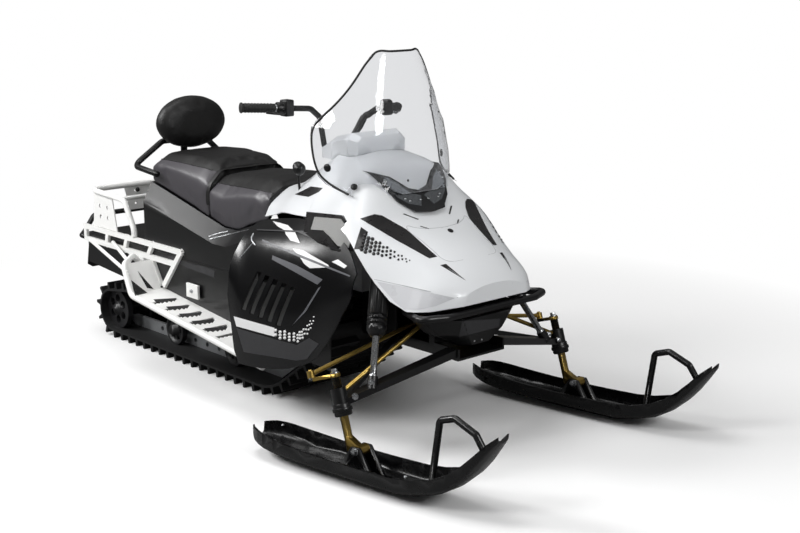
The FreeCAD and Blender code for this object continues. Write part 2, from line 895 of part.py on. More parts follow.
# Frames on the tunnel's flanks behind the foot wells
def bar(start, end, width, depth):
    """A flat bar in a plane of constant Y, from its inner face outwards."""
    direction = (end - start).normalize()
    across = Vector(-direction.z, 0, direction.x) * (width / 2)
    grown = direction * (width / 2)
    corners = [start - grown - across, end + grown - across, end + grown + across, start - grown + across]
    return prism(corners, SIDEWAYS * depth)


def side_frame():
    """The left frame: two long rails, uprights and a diagonal down to the running board."""
    y = board_inner_y + s.running_gap
    lower = s.frame_bar + s.frame_rail_gap
    top_rear = Vector(s.tunnel_rear_x, y, s.frame_top)
    top_front = Vector(s.frame_front_x, y, s.frame_top)
    low_rear = top_rear - UP * lower
    low_front = Vector(along(s.frame_front_x, s.tunnel_rear_x, 0.07), y, s.frame_top - lower)
    foot = Vector(s.frame_foot_x, y, board_height(s.frame_foot_x) + s.board_thickness / 2 + s.frame_bar)
    bars = [bar(top_rear, top_front, s.frame_bar, s.frame_thickness),
            bar(low_rear, low_front, s.frame_bar, s.frame_thickness),
            bar(top_front, foot, s.frame_bar, s.frame_thickness)]
    for share in (0, 0.25, 0.46, 0.72):
        bars.append(bar(along(top_rear, top_front, share), along(low_rear, low_front, share),
                        s.frame_bar, s.frame_thickness))
    fan_hub = Vector(along(s.frame_foot_x, s.tunnel_rear_x, 0.05), y, foot.z)
    for share in (0.5, 0.62, 0.76):
        bars.append(bar(along(low_rear, low_front, share), fan_hub, s.frame_bar * 0.8, s.frame_thickness))
    return fuse(bars)


solid("side_frames", pair(side_frame()))


# Rack over the tail: two hoops, two cross tubes, a rear plate and two gussets
def rack():
    """The rear rack, welded from round tube and folded plate."""
    radius = s.rack_tube_radius
    y = s.rack_half_width
    foot = s.frame_top + s.frame_bar / 2 + s.running_gap * 5
    shapes = []
    for side in (RIGHT, LEFT):
        hoop = [Vector(s.rack_rear_x, 0, s.rack_height), Vector(s.rack_rear_x, side * y, s.rack_height),
                Vector(along(s.rack_rear_x, s.rack_front_x, 0.8), side * y, s.rack_height - radius),
                Vector(s.rack_front_x, side * y, foot + s.rack_leg), Vector(s.rack_front_x, side * y, foot)]
        shapes.append(tube(hoop, radius, radius * 4))
        gusset_rear = s.rack_rear_x + radius * 2
        gusset = prism([
            Vector(gusset_rear, side * y, s.rack_height),
            Vector(gusset_rear + s.gusset_length * 0.8, side * y, s.rack_height),
            Vector(gusset_rear + s.gusset_length, side * y, foot),
            Vector(gusset_rear - s.gusset_length * 0.1, side * y, foot),
        ], SIDEWAYS * (-side * s.rack_plate_thickness))
        for share_x, share_z in ((0.25, 0.3), (0.6, 0.3), (0.25, 0.6), (0.6, 0.6)):
            hole = Vector(gusset_rear + s.gusset_length * share_x, side * (y + s.overrun),
                          along(foot, s.rack_height, share_z))
            through = SIDEWAYS * (side * (s.rack_plate_thickness + 2 * s.overrun))
            gusset = gusset.cut(rod(hole, hole - through, s.gusset_hole_radius))
        shapes.append(gusset)
    front = Vector(along(s.rack_rear_x, s.rack_front_x, 0.72), 0, s.rack_height - radius * 0.9)
    shapes.append(rod(front - SIDEWAYS * y, front + SIDEWAYS * y, radius * 0.8))
    plate = prism([
        Vector(s.rack_rear_x, -s.rack_plate_half_width, s.rack_height),
        Vector(s.rack_rear_x, s.rack_plate_half_width, s.rack_height),
        Vector(s.rack_rear_x, s.rack_plate_half_width * 0.8, s.rack_height - s.rack_plate_height),
        Vector(s.rack_rear_x, -s.rack_plate_half_width * 0.8, s.rack_height - s.rack_plate_height),
    ], Vector(s.rack_plate_thickness, 0, 0))
    for across in (-0.5, 0.5):
        for up in (-0.5, 0.5):
            hole = Vector(s.rack_rear_x - s.overrun, s.rack_bolt_spacing_y * across,
                          s.rack_height - s.rack_plate_height * 0.5 + s.rack_bolt_spacing_z * up)
            through = Vector(s.rack_plate_thickness + s.overrun * 2, 0, 0)
            plate = plate.cut(rod(hole, hole + through, s.rack_bolt_radius))
    shapes.append(plate)
    return fuse(shapes)


solid("rear_rack", rack())

grab_y = board_inner_y + s.frame_thickness / 2
grab_root = s.tunnel_rear_x - s.frame_bar / 2 - s.running_gap
grab_rear_x = grab_root - s.grab_reach
grab_knee = along(grab_root, grab_rear_x, 0.3)
solid("rear_grab_bar", tube([
    Vector(grab_root, -grab_y, s.grab_height),
    Vector(grab_knee, -grab_y, s.grab_height),
    Vector(grab_rear_x, -grab_y + s.grab_rise, s.grab_height),
    Vector(grab_rear_x - s.grab_tube_radius * 2, -grab_y + s.grab_rise * 2, s.grab_height + s.grab_rise),
    Vector(grab_rear_x - s.grab_tube_radius * 2, grab_y - s.grab_rise * 2, s.grab_height + s.grab_rise),
    Vector(grab_rear_x, grab_y - s.grab_rise, s.grab_height),
    Vector(grab_knee, grab_y, s.grab_height),
    Vector(grab_root, grab_y, s.grab_height),
], s.grab_tube_radius, s.grab_tube_radius * 3))

flap = new_body("snow_flap")
flap_side = new_sketch(flap, "YZ_Plane", "FlapOutline")
flap_half = s.tunnel_width / 2 - s.tunnel_wall - s.running_gap
outline(flap_side, [
    (-1 * flap_half, s.flap_length * -0.9),
    (-1 * flap_half * 0.9, s.flap_length * -1),
    (flap_half * 0.9, s.flap_length * -1),
    (flap_half, s.flap_length * -0.9),
    (flap_half, s.flap_length * 0),
    (-1 * flap_half, s.flap_length * 0),
])
extrude(flap, "Pad", flap_side, s.flap_thickness, "FlapSheet")
flap_top = s.tunnel_top - s.tunnel_wall - s.running_gap - s.flap_thickness / 4
flap.Placement = Placement(Vector(s.tunnel_rear_x + s.flap_thickness, 0, flap_top),
                           Rotation(SIDEWAYS, float(s.flap_angle)))


# Seat
def side_loft(rows):
    """A body lofted across the machine through side outlines of equal corner counts."""
    wires = [polygon([Vector(x, y, z) for x, z in points]) for y, points in rows]
    return Part.makeLoft(wires, True, True)


def seat_base():
    """The hollow-looking plastic base that widens from the cushion line down to the tunnel."""
    floor = s.tunnel_top + s.seat_gap
    rear, front = s.seat_base_rear_x, s.seat_base_front_x
    dip = along(rear, front, 0.62)
    dip_end = along(rear, front, 0.72)
    tall = [(rear, floor), (front, floor), (front, s.seat_base_front_top), (dip_end, s.seat_base_dip_top),
            (dip, s.seat_base_dip_top), (rear, s.seat_base_rear_top)]
    dip_height = along(floor, s.seat_base_dip_top, 0.62)
    low = [(rear + s.cushion_round, floor), (front - s.cushion_round, floor),
           (front - s.cushion_round, along(floor, s.seat_base_front_top, 0.72)),
           (dip_end, dip_height), (dip, dip_height),
           (rear + s.cushion_round, along(floor, s.seat_base_rear_top, 0.72))]
    rows = [(-s.seat_base_half_width, low), (-s.seat_base_waist, tall),
            (s.seat_base_waist, tall), (s.seat_base_half_width, low)]
    return side_loft(rows)


solid("seat_base", seat_base())


def cushion(bottom, top):
    """A crowned cushion lofted across the seat from its bottom and top side lines."""
    def outline_at(share):
        crown = [(x, along(bottom_z, z, share)) for (x, z), (_, bottom_z) in zip(top, bottom)]
        return [(x, z) for x, z in bottom] + crown[::-1]
    full = s.cushion_half_width
    narrow = s.cushion_top_half_width
    rows = [(-full, outline_at(0.62)), (-narrow, outline_at(0.96)), (-narrow / 2, outline_at(1)),
            (narrow / 2, outline_at(1)), (narrow, outline_at(0.96)), (full, outline_at(0.62))]
    return side_loft(rows)


def seats():
    """The driver's cushion and the raised passenger cushion, apart by a seam's width."""
    gap = s.seat_gap
    rear, front = s.seat_base_rear_x, s.seat_base_front_x
    dip = along(rear, front, 0.62)
    dip_end = along(rear, front, 0.72)
    split = s.seat_split_x
    lift = s.seat_gap

    def seat_line(x):
        if x <= dip:
            return along(s.seat_base_rear_top, s.seat_base_dip_top, (x - rear) / (dip - rear)) + lift
        if x <= dip_end:
            return s.seat_base_dip_top + lift
        return along(s.seat_base_dip_top, s.seat_base_front_top, (x - dip_end) / (front - dip_end)) + lift

    front_xs = [split + gap, dip, dip_end, along(dip_end, front, 0.55), front - s.cushion_round]
    front_tops = [s.front_seat_top - s.cushion_round * drop for drop in (0.9, 0.5, 0.2, 0, 0.7)]
    rear_xs = [along(rear, split - gap, share) for share in (0, 0.12, 0.5, 0.85, 1)]
    drop_shares = (1.4, 0.4, 0, 0.3, 1.4)
    rear_tops = [s.rear_seat_top - s.cushion_round * share for share in drop_shares]
    driver = cushion([(x, seat_line(x)) for x in front_xs], list(zip(front_xs, front_tops)))
    passenger = cushion([(x, seat_line(x)) for x in rear_xs], list(zip(rear_xs, rear_tops)))
    return driver, passenger


driver_seat, passenger_seat = seats()
solid("seat_front", driver_seat)
solid("seat_rear", passenger_seat)


# Backrest on its post, with the passenger's grab loops beside it
def backrest_pad():
    """A rounded pad, thicker in its middle, lofted front to back."""
    wires = []
    for share, grow in ((-0.5, 0.82), (-0.2, 1), (0.25, 1), (0.5, 0.8)):
        half_w = s.backrest_half_width * grow
        half_h = s.backrest_half_height * grow
        x = s.backrest_x + s.backrest_thickness * share
        shares = ((-0.55, -1), (0.55, -1), (0.92, -0.62), (1, 0), (0.86, 0.62),
                  (0.45, 1), (-0.45, 1), (-0.86, 0.62), (-1, 0), (-0.92, -0.62))
        wires.append(polygon([Vector(x, half_w * a, s.backrest_middle + half_h * b) for a, b in shares]))
    return Part.makeLoft(wires, True, True)


solid("backrest_pad", backrest_pad())


def backrest_frame():
    """The post behind the seat and one bent tube that makes both passenger grab loops."""
    back_x = s.backrest_x - s.backrest_thickness * 0.5
    bar_height = along(s.seat_base_rear_top, s.rear_seat_top, 0.35)
    bar_x = s.seat_base_rear_x - s.passenger_bar_radius - s.running_gap
    half = s.passenger_bar_half_width
    post_x = back_x - s.backrest_post_radius - s.running_gap
    loop = [Vector(bar_x + s.backrest_thickness * 1.3, -half, bar_height),
            Vector(bar_x - s.backrest_thickness * 0.9, -half * 0.96, bar_height + s.cushion_round * 0.5),
            Vector(post_x, -half * 0.45, s.rear_seat_top + s.cushion_round),
            Vector(post_x, half * 0.45, s.rear_seat_top + s.cushion_round),
            Vector(bar_x - s.backrest_thickness * 0.9, half * 0.96, bar_height + s.cushion_round * 0.5),
            Vector(bar_x + s.backrest_thickness * 1.3, half, bar_height)]
    bars = tube(loop, s.passenger_bar_radius, s.passenger_bar_radius * 2.5)
    floor = s.tunnel_top + s.running_gap
    foot = Vector(bar_x - s.backrest_post_radius, 0, floor + s.backrest_plate_thickness / 2)
    post = tube([foot, Vector(post_x, 0, along(s.seat_base_rear_top, s.rear_seat_top, 0.3)),
                 Vector(post_x, 0, s.backrest_middle)], s.backrest_post_radius, s.backrest_post_radius * 3)
    half_plate = s.backrest_plate / 2
    plate = Part.makeBox(half_plate, s.backrest_plate, s.backrest_plate_thickness,
                         Vector(foot.x - s.backrest_post_radius, -half_plate, floor))
    return fuse([bars, post, plate])


solid("backrest_frame", backrest_frame())

# Engine, one block under the hood
engine = new_body("engine")
engine_bottom = s.bulkhead_top + s.running_gap
engine_face = new_sketch(engine, "YZ_Plane", "EngineFace", s.engine_rear_x + s.engine_length / 2)
outline(engine_face, [
    (s.engine_width * -0.5, engine_bottom),
    (s.engine_width * 0.5, engine_bottom),
    (s.engine_width * 0.5, engine_bottom + s.engine_height * 0.7),
    (s.engine_width * 0.3, engine_bottom + s.engine_height),
    (s.engine_width * -0.3, engine_bottom + s.engine_height),
    (s.engine_width * -0.5, engine_bottom + s.engine_height * 0.7),
])
extrude(engine, "Pad", engine_face, s.engine_length, "EngineBlock")
doc.recompute()
engine_foot = new_sketch(engine, "YZ_Plane", "EngineFoot", s.engine_rear_x + s.engine_foot_length)
outline(engine_foot, [
    (s.engine_width * -0.3, s.tunnel_top + s.running_gap),
    (s.engine_width * 0.3, s.tunnel_top + s.running_gap),
    (s.engine_width * 0.3, engine_bottom + s.overrun),
    (s.engine_width * -0.3, engine_bottom + s.overrun),
])
extrude(engine, "Pad", engine_foot, s.engine_foot_length, "EngineMount")


# Bulkhead: a box frame that carries the arms, with windows for the tie rods
def bulkhead():
    """Folded side plates with a low tongue ahead, a floor, a roof and two cross plates."""
    rear = s.tunnel_front_x + s.running_gap
    front, tongue = s.bulkhead_front_x, s.bulkhead_tongue_x
    low, high = s.bulkhead_bottom, s.bulkhead_top
    half, wall = s.bulkhead_half_width, s.bulkhead_wall
    shapes = []
    for start in (-half, half - wall):
        plate = prism([Vector(rear, start, low), Vector(tongue, start, low),
                       Vector(tongue, start, s.bulkhead_tongue_top),
                       Vector(front, start, s.bulkhead_tongue_top),
                       Vector(front, start, high), Vector(rear, start, high)], SIDEWAYS * wall)
        window = Part.makeBox(s.rod_window_front_x - s.rod_window_rear_x, wall * 3,
                              s.rod_window_top - s.rod_window_bottom,
                              Vector(s.rod_window_rear_x, start - wall, s.rod_window_bottom))
        shapes.append(plate.cut(window))
    shapes.append(Part.makeBox(tongue - rear, 2 * half, wall, Vector(rear, -half, low)))
    shapes.append(Part.makeBox(front - rear, 2 * half, wall, Vector(rear, -half, high - wall)))
    shapes.append(Part.makeBox(wall, 2 * half, high - low, Vector(rear, -half, low)))
    shapes.append(Part.makeBox(wall, 2 * half, high - s.bulkhead_tongue_top,
                               Vector(front - wall, -half, s.bulkhead_tongue_top)))
    return fuse(shapes)


solid("bulkhead", bulkhead())


def shock_tower():
    """The bent cross tube that holds the dampers' upper eyes over the bulkhead."""
    radius = s.tower_tube_radius
    top = s.shock_top_height + s.shock_sleeve_radius * 0.2
    reach = s.shock_top_y - s.shock_sleeve_radius - s.running_gap * 2
    x = s.shock_top_x
    foot = s.bulkhead_top + s.running_gap
    foot_y = s.bulkhead_half_width * 0.7
    right = [Vector(x, -foot_y, foot), Vector(x, -foot_y, foot + s.tower_leg),
             Vector(x, -reach + radius, top)]
    left = [Vector(x, -point.y, point.z) for point in right[::-1]]
    return tube(right + left, radius, radius * 2)


solid("shock_tower", shock_tower())


# Bodywork: shells whose section lines are shares of their own length, half width and height
HOOD_SHARES = (
    # along, then (across, up) from the right lower edge to the top's middle line
    (1.00, ((0.46, 0.05), (0.45, 0.12), (0.22, 0.165), (0.00, 0.175))),
    (0.96, ((0.60, 0.04), (0.555, 0.155), (0.25, 0.22), (0.00, 0.23))),
    (0.90, ((0.75, 0.02), (0.65, 0.20), (0.28, 0.28), (0.00, 0.29))),
    (0.80, ((0.87, 0.01), (0.70, 0.27), (0.30, 0.365), (0.00, 0.375))),
    (0.62, ((0.97, 0.18), (0.80, 0.41), (0.38, 0.49), (0.00, 0.50))),
    (0.50, ((1.00, 0.36), (0.86, 0.51), (0.48, 0.59), (0.00, 0.60))),
    (0.40, ((0.98, 0.48), (0.88, 0.58), (0.52, 0.76), (0.00, 0.765))),
    (0.30, ((0.93, 0.52), (0.87, 0.60), (0.50, 0.89), (0.00, 0.915))),
    (0.15, ((0.88, 0.525), (0.83, 0.60), (0.46, 0.95), (0.00, 0.985))),
    (0.00, ((0.84, 0.52), (0.80, 0.59), (0.44, 0.965), (0.00, 1.00))),
)
CONSOLE_SHARES = (
    (1.00, ((1.16, 0.16), (1.104, 0.30), (0.608, 1.048), (0.00, 1.12))),
    (0.78, ((1.15, 0.15), (1.08, 0.28), (0.62, 0.86), (0.00, 0.92))),
    (0.55, ((1.12, 0.14), (1.04, 0.26), (0.62, 0.64), (0.00, 0.69))),
    (0.25, ((1.02, 0.04), (0.90, 0.22), (0.52, 0.46), (0.00, 0.50))),
    (0.00, ((0.94, -0.05), (0.84, 0.14), (0.46, 0.38), (0.00, 0.42))),
)
SIDE_SHARES = (
    (0.00, ((0.93, 0.42), (0.90, 0.62), (0.74, 0.80), (0.60, 0.86))),
    (0.16, ((1.00, 0.01), (0.96, 0.40), (0.78, 0.79), (0.58, 0.90))),
    (0.45, ((0.97, 0.04), (0.93, 0.40), (0.79, 0.76), (0.60, 0.94))),
    (0.72, ((0.90, 0.14), (0.88, 0.42), (0.79, 0.73), (0.66, 0.92))),
    (0.90, ((0.87, 0.38), (0.85, 0.55), (0.79, 0.72), (0.72, 0.84))),
    (1.00, ((0.82, 0.60), (0.82, 0.65), (0.79, 0.70), (0.77, 0.73))),
)


def section_lines(shares, start, end, half_width, low, high, whole):
    """Section lines in millimetres from a table of shares; whole adds the mirrored other half."""
    stations = []
    for share, corners in shares:
        right = [(-half_width * across, along(low, high, up)) for across, up in corners]
        left = [(-y, z) for y, z in right[::-1] if y != 0]
        stations.append((along(start, end, share), right + left if whole else right))
    return stations


hood_lines = section_lines(HOOD_SHARES, s.hood_rear_x, s.hood_nose_x, s.hood_half_width,
                           s.hood_low, s.hood_high, True)


HOOD_STEPS = 2
CONSOLE_STEPS = 3


def hood():
    """The hood's shell, closed at the nose by a front wall."""
    shell = band(hood_lines, s.panel_wall, HOOD_STEPS)
    x, points = hood_lines[0]
    wall = prism([Vector(x - s.panel_wall, y, z) for y, z in rounded(points)], Vector(s.panel_wall, 0, 0))
    return fuse([shell, wall])


def headlamp():
    """The smoked visor that wraps the hood's front face and rises to a point on each side."""
    half, low, high = s.lamp_half_width, s.lamp_low, s.lamp_high
    corners = ((0, 0), (0.42, 0.04), (0.72, 0.3), (0.9, 0.7), (1, 1), (0.62, 0.86), (0.28, 0.56), (0, 0.48))
    right = [(-half * across, along(low, high, up)) for across, up in corners]
    left = [(-y, z) for y, z in right[-2:0:-1]]
    block = prism([Vector(s.hood_rear_x, y, z) for y, z in right + left],
                  Vector(s.hood_nose_x - s.hood_rear_x, 0, 0))
    outer, inner = fill(hood_lines, HOOD_STEPS, s.lamp_depth), fill(hood_lines, HOOD_STEPS, s.running_gap)
    return block.common(outer).cut(inner)


console_rear_x = s.seat_base_front_x - s.cushion_round + s.seat_gap
console_lines = section_lines(CONSOLE_SHARES, console_rear_x, s.hood_rear_x - s.running_gap,
                              s.console_half_width, s.console_low, s.console_high, True)
solid("hood", hood())
solid("headlamp", headlamp())

side_lines = section_lines(SIDE_SHARES, s.side_rear_x, s.side_front_x, s.side_half_width,
                           s.side_low, s.side_high, False)


SIDE_STEPS = 3


def side_panel():
    """The right cover, with slanted louvre slots through its flank."""
    shell = band(side_lines, s.panel_wall, SIDE_STEPS)
    slots = []
    middle_x = along(s.side_rear_x, s.side_front_x, 0.36)
    middle_z = along(s.side_low, s.side_high, 0.46)
    for number in range(int(s.louvre_count)):
        x = middle_x + s.louvre_pitch * (number - (s.louvre_count - 1) / 2)
        half = s.louvre_height / 2
        lean = s.louvre_slant
        z = middle_z - (x - middle_x) * 0.12
        slots.append(prism([
            Vector(x - s.louvre_width / 2 + lean, -s.side_half_width - s.overrun, z + half),
            Vector(x + s.louvre_width / 2 + lean, -s.side_half_width - s.overrun, z + half),
            Vector(x + s.louvre_width / 2 - lean, -s.side_half_width - s.overrun, z - half),
            Vector(x - s.louvre_width / 2 - lean, -s.side_half_width - s.overrun, z - half),
        ], SIDEWAYS * (s.side_half_width * 0.4)))
    return shell.cut(Part.makeCompound(slots))


right_cover = side_panel()
solid("side_panel_right", right_cover)
solid("side_panel_left", mirror_shape(right_cover))


# Running boards, finished with the toe boards that meet the covers' inner faces
def toe_board():
    """The right toe board, which rises from the running board's front end."""
    half = s.board_thickness / 2
    low = Vector(s.board_front_x, -board_inner_y, s.board_front_height - half)
    high = low + Vector(s.toe_run, 0, s.toe_rise)
    depth = Vector(-s.board_thickness, 0, 0)
    plate = prism([low, high, high + depth, low + depth], SIDEWAYS * (board_inner_y - s.board_outer_y))
    wires = []
    for x, points in smooth(side_lines, SIDE_STEPS):
        inner = rounded(inset(points, s.panel_wall + s.running_gap))
        outside = -s.side_half_width - s.overrun
        corners = inner + [(outside, inner[-1][1]), (outside, inner[0][1])]
        wires.append(polygon([Vector(x, y, z) for y, z in corners]))
    return plate.cut(Part.makeLoft(wires, True, True))


left_board = fuse([running_board(), mirror_shape(toe_board())])
solid("running_board_left", left_board)
solid("running_board_right", mirror_shape(left_board))


# Dash pod above the bar
def dash_pod():
    """The hooded pod behind the windshield, highest at its front."""
    rear, front = s.pod_rear_x, s.pod_front_x
    half = s.pod_half_width
    height = s.pod_top - s.pod_bottom
    wires = []
    rings = ((0.0, 0.9, 0.0, 0.45), (0.35, 1.0, 0.0, 0.8), (0.8, 1.0, 0.0, 1.0), (1.0, 0.86, 0.3, 0.86))
    for share, width, low, high in rings:
        x = along(rear, front, share)
        wide = half * width
        points = [(-wide, low), (-wide, high * 0.8), (-wide * 0.8, high),
                  (wide * 0.8, high), (wide, high * 0.8), (wide, low)]
        wires.append(polygon([Vector(x, y, s.pod_bottom + height * z) for y, z in points]))
    pod = Part.makeLoft(wires, True, True)
    pod = pod.cut(fill(hood_lines, HOOD_STEPS, s.running_gap))
    return pod.cut(fill(console_lines, CONSOLE_STEPS, s.running_gap))


solid("dash_pod", dash_pod())


# Windshield: a curve in plan at each height, lofted upwards
WINDSHIELD_SHARES = (
    # height, half width, sweep of the edge behind the middle
    (0.000, 0.83, 0.37),
    (0.025, 0.87, 0.61),
    (0.069, 0.92, 0.90),
    (0.125, 0.97, 0.98),
    (0.245, 1.00, 1.00),
    (0.412, 0.985, 1.00),
    (0.469, 0.97, 0.97),
    (0.518, 0.91, 0.91),
    (0.578, 0.825, 0.72),
    (0.678, 0.714, 0.50),
    (0.786, 0.587, 0.36),
    (0.904, 0.46, 0.23),
    (0.975, 0.38, 0.16),
    (1.000, 0.29, 0.11),
)
WINDSHIELD_ACROSS_SHARES = (0, 0.3, 0.55, 0.72, 0.84, 0.93, 1)
WINDSHIELD_CURVE = 3.6


def windshield():
    """A thin shell bent round the dash, leaning back and narrowing upwards."""
    wires = []
    for up, wide, sweep in WINDSHIELD_SHARES:
        z = along(s.screen_foot_height, s.screen_top, up)
        x = along(s.screen_foot_x, s.screen_top_x, up)
        half = s.screen_half_width * wide
        back = s.screen_sweep * sweep
        loop = []
        for inside in (0, s.screen_wall):
            shares = [-share for share in WINDSHIELD_ACROSS_SHARES[:0:-1]] + list(WINDSHIELD_ACROSS_SHARES)
            line = [Vector(x - inside - (back - inside) * abs(share) ** WINDSHIELD_CURVE,
                           (half - inside) * share, z) for share in shares]
            loop += line if inside == 0 else line[::-1]
        wires.append(polygon(loop))
    sheet_shape = Part.makeLoft(wires, True, True)
    return sheet_shape.cut(fill(hood_lines, HOOD_STEPS, s.lamp_depth + s.running_gap))


solid("windshield", windshield())


# Nose pan and front bumper
def nose_pan():
    """The dark cone under the hood's lip, narrowing down to the arm mounts."""
    rear = s.bulkhead_front_x + s.running_gap
    wires = []
    for up, half_share, front_share in ((1, 1, 1), (0.45, 0.72, 0.93), (0, 0.34, 0.78)):
        z = along(s.nose_bottom, s.nose_top, up)
        half = s.nose_half_width * half_share
        front = rear + s.nose_length * front_share
        corner = front - half * 0.35
        plan = [(rear, -half), (corner, -half), (front, -half * 0.5)]
        plan += [(x, -y) for x, y in plan[::-1]]
        wires.append(polygon([Vector(x, y, z) for x, y in plan]))
    return Part.makeLoft(wires, True, True)


solid("nose_pan", nose_pan())

bumper_y = s.bumper_half_width
bumper_root = s.bulkhead_half_width + s.running_gap
bumper_root_height = s.bulkhead_top - s.bumper_tube_radius * 1.2
bumper = tube([
    Vector(s.bumper_front_x - s.bumper_half_width * 0.7, -bumper_root, bumper_root_height),
    Vector(s.bumper_front_x - s.bumper_half_width * 0.7, -bumper_y * 0.7, bumper_root_height),
    Vector(s.bumper_front_x - s.bumper_half_width * 0.12, -bumper_y, s.bumper_height),
    Vector(s.bumper_front_x, -bumper_y * 0.7, s.bumper_height),
    Vector(s.bumper_front_x, bumper_y * 0.7, s.bumper_height),
    Vector(s.bumper_front_x - s.bumper_half_width * 0.12, bumper_y, s.bumper_height),
    Vector(s.bumper_front_x - s.bumper_half_width * 0.7, bumper_y * 0.7, bumper_root_height),
    Vector(s.bumper_front_x - s.bumper_half_width * 0.7, bumper_root, bumper_root_height),
], s.bumper_tube_radius, s.bumper_tube_radius * 2.4)
solid("front_bumper", bumper)


# Front suspension and steering geometry
CASTER = math.radians(s.caster_angle)
KINGPIN = Vector(-math.sin(CASTER), 0, math.cos(CASTER))
REARWARD = Vector(-math.cos(CASTER), 0, -math.sin(CASTER))


def kingpin_foot(side):
    """The lower end of one kingpin's line."""
    return Vector(s.kingpin_foot_x, side * s.ski_stance / 2, s.kingpin_foot_height)


def steered(centre, axis):
    """The turn that every steered piece has at rest."""
    return Placement(Vector(0, 0, 0), Rotation(axis, float(s.steer_angle)), centre)


def shock_line(side):
    """The lower and upper ends of one damper."""
    return (Vector(s.shock_foot_x, side * s.shock_foot_y, s.shock_foot_height),
            Vector(s.shock_top_x, side * s.shock_top_y, s.shock_top_height))


def lower_arm(side):
    """A welded arm: two tapered legs and the upright housing that the kingpin turns in."""
    foot = kingpin_foot(side)
    start = foot + KINGPIN * s.housing_start
    end = start + KINGPIN * s.housing_length
    middle = (start + end) * 0.5
    section = s.lower_arm_section
    housing = rod(start, end, s.housing_radius)
    legs = []
    for inner_x, taper in ((s.lower_arm_front_x, 1.25), (s.lower_arm_rear_x, 0.85)):
        inner = Vector(inner_x, side * (s.bulkhead_half_width + s.running_gap), s.lower_arm_inner_height)
        wires = []
        for point, size in ((inner, section * taper), (middle, section * taper * 0.8)):
            wide, tall = size / 2, size * 0.3
            corners = ((-wide, -tall), (wide, -tall), (wide, tall), (-wide, tall))
            wires.append(polygon([point + Vector(x, 0, z) for x, z in corners]))
        legs.append(Part.makeLoft(wires, True, True))
    bore = rod(start - KINGPIN * s.overrun, end + KINGPIN * s.overrun, s.spindle_radius + s.spindle_fit)
    shock_foot, shock_top = shock_line(side)
    lean = (shock_top - shock_foot).normalize()
    seat_top = shock_foot - lean * s.running_gap
    seat = rod(shock_foot - lean * s.shock_seat_length, seat_top, s.shock_seat_radius)
    arm = fuse([housing, seat] + legs)
    return arm.cut(bore)


def upper_link(side):
    """A thin link from the top of the housing to the bulkhead."""
    foot = kingpin_foot(side)
    top = foot + KINGPIN * (s.housing_start + s.housing_length * 0.9)
    slack = s.running_gap + s.rod_radius * 0.4
    outer = top - SIDEWAYS * (side * (s.housing_radius + slack))
    inner = Vector(s.upper_link_inner_x, side * (s.bulkhead_half_width + slack), s.upper_link_inner_height)
    return rod(outer, inner, s.rod_radius)


def shock(side):
    """A sleeved damper from the lower arm up under the hood."""
    foot, top = shock_line(side)
    direction = (top - foot).normalize()
    sleeve_start = top - direction * s.shock_sleeve_length
    cap_length = s.shock_sleeve_radius * 0.6
    cap = Part.makeCone(s.shock_rod_radius * 1.7, s.shock_sleeve_radius, cap_length, sleeve_start, direction)
    sleeve = rod(sleeve_start + direction * cap_length, top, s.shock_sleeve_radius)
    core_radius = s.shock_sleeve_radius - s.shock_groove_depth
    for share in (0.14, 0.2, 0.26, 0.94):
        start = along(sleeve_start, top, share)
        end = start + direction * s.shock_groove_width
        groove = rod(start, end, s.shock_sleeve_radius + s.overrun)
        sleeve = sleeve.cut(groove.cut(rod(start, end, core_radius)))
    return fuse([rod(foot, sleeve_start + direction * cap_length, s.shock_rod_radius), cap, sleeve])


def spindle(side):
    """The turning leg: its shaft, its forked foot at the ski and its steering arm on top."""
    foot = kingpin_foot(side)
    top = foot + KINGPIN * s.kingpin_length
    shaft = rod(foot + KINGPIN * (s.spindle_radius * 0.5), top, s.spindle_radius)
    pin_centre = Vector(s.ski_pivot_x, foot.y, s.ski_pivot_height)
    half = s.saddle_half_width - s.saddle_wall - s.running_gap
    eye = rod(pin_centre - SIDEWAYS * half, pin_centre + SIDEWAYS * half, s.ski_pin_radius * 2)
    knee = foot + KINGPIN * (s.housing_start * 0.35)
    brace = prism([knee + SIDEWAYS * (-s.spindle_radius) + Vector(0, 0, -s.spindle_radius),
                   pin_centre + SIDEWAYS * (-s.spindle_radius) + Vector(0, 0, -s.ski_pin_radius),
                   pin_centre + SIDEWAYS * (-s.spindle_radius) + Vector(0, 0, s.ski_pin_radius),
                   knee + SIDEWAYS * (-s.spindle_radius) + Vector(0, 0, s.spindle_radius)],
                  SIDEWAYS * (2 * s.spindle_radius))
    arm = steering_arm(top - KINGPIN * s.steer_arm_thickness, side)
    leg = fuse([shaft, eye, brace, arm])
    wide = SIDEWAYS * (half * 2)
    bore = rod(pin_centre - wide, pin_centre + wide, s.ski_pin_radius + s.spindle_fit)
    return leg.cut(bore)


def arm_pin(centre, side):
    """Where a steering arm that starts at centre holds its rod's pin."""
    return centre + REARWARD * s.steer_arm_length + SIDEWAYS * (side * s.steer_arm_splay)


def steering_arm(centre, side):
    """A flat arm from a kingpin back to its rod's pin, with the pin standing on it."""
    pin = arm_pin(centre, side)
    reach = (pin - centre).normalize()
    across = KINGPIN.cross(reach) * (s.steer_arm_width / 2)
    plate = prism([centre - across, pin - across * 0.8, pin + across * 0.8, centre + across],
                  KINGPIN * s.steer_arm_thickness)
    boss = rod(centre, centre + KINGPIN * s.steer_arm_thickness, s.steer_arm_width * 0.7)
    end = rod(pin, pin + KINGPIN * s.steer_arm_thickness, s.steer_arm_width * 0.5)
    peg = rod(pin, pin + KINGPIN * (s.steer_arm_thickness + s.rod_eye_height + s.overrun), s.rod_pin_radius)
    return fuse([plate, boss, end, peg])


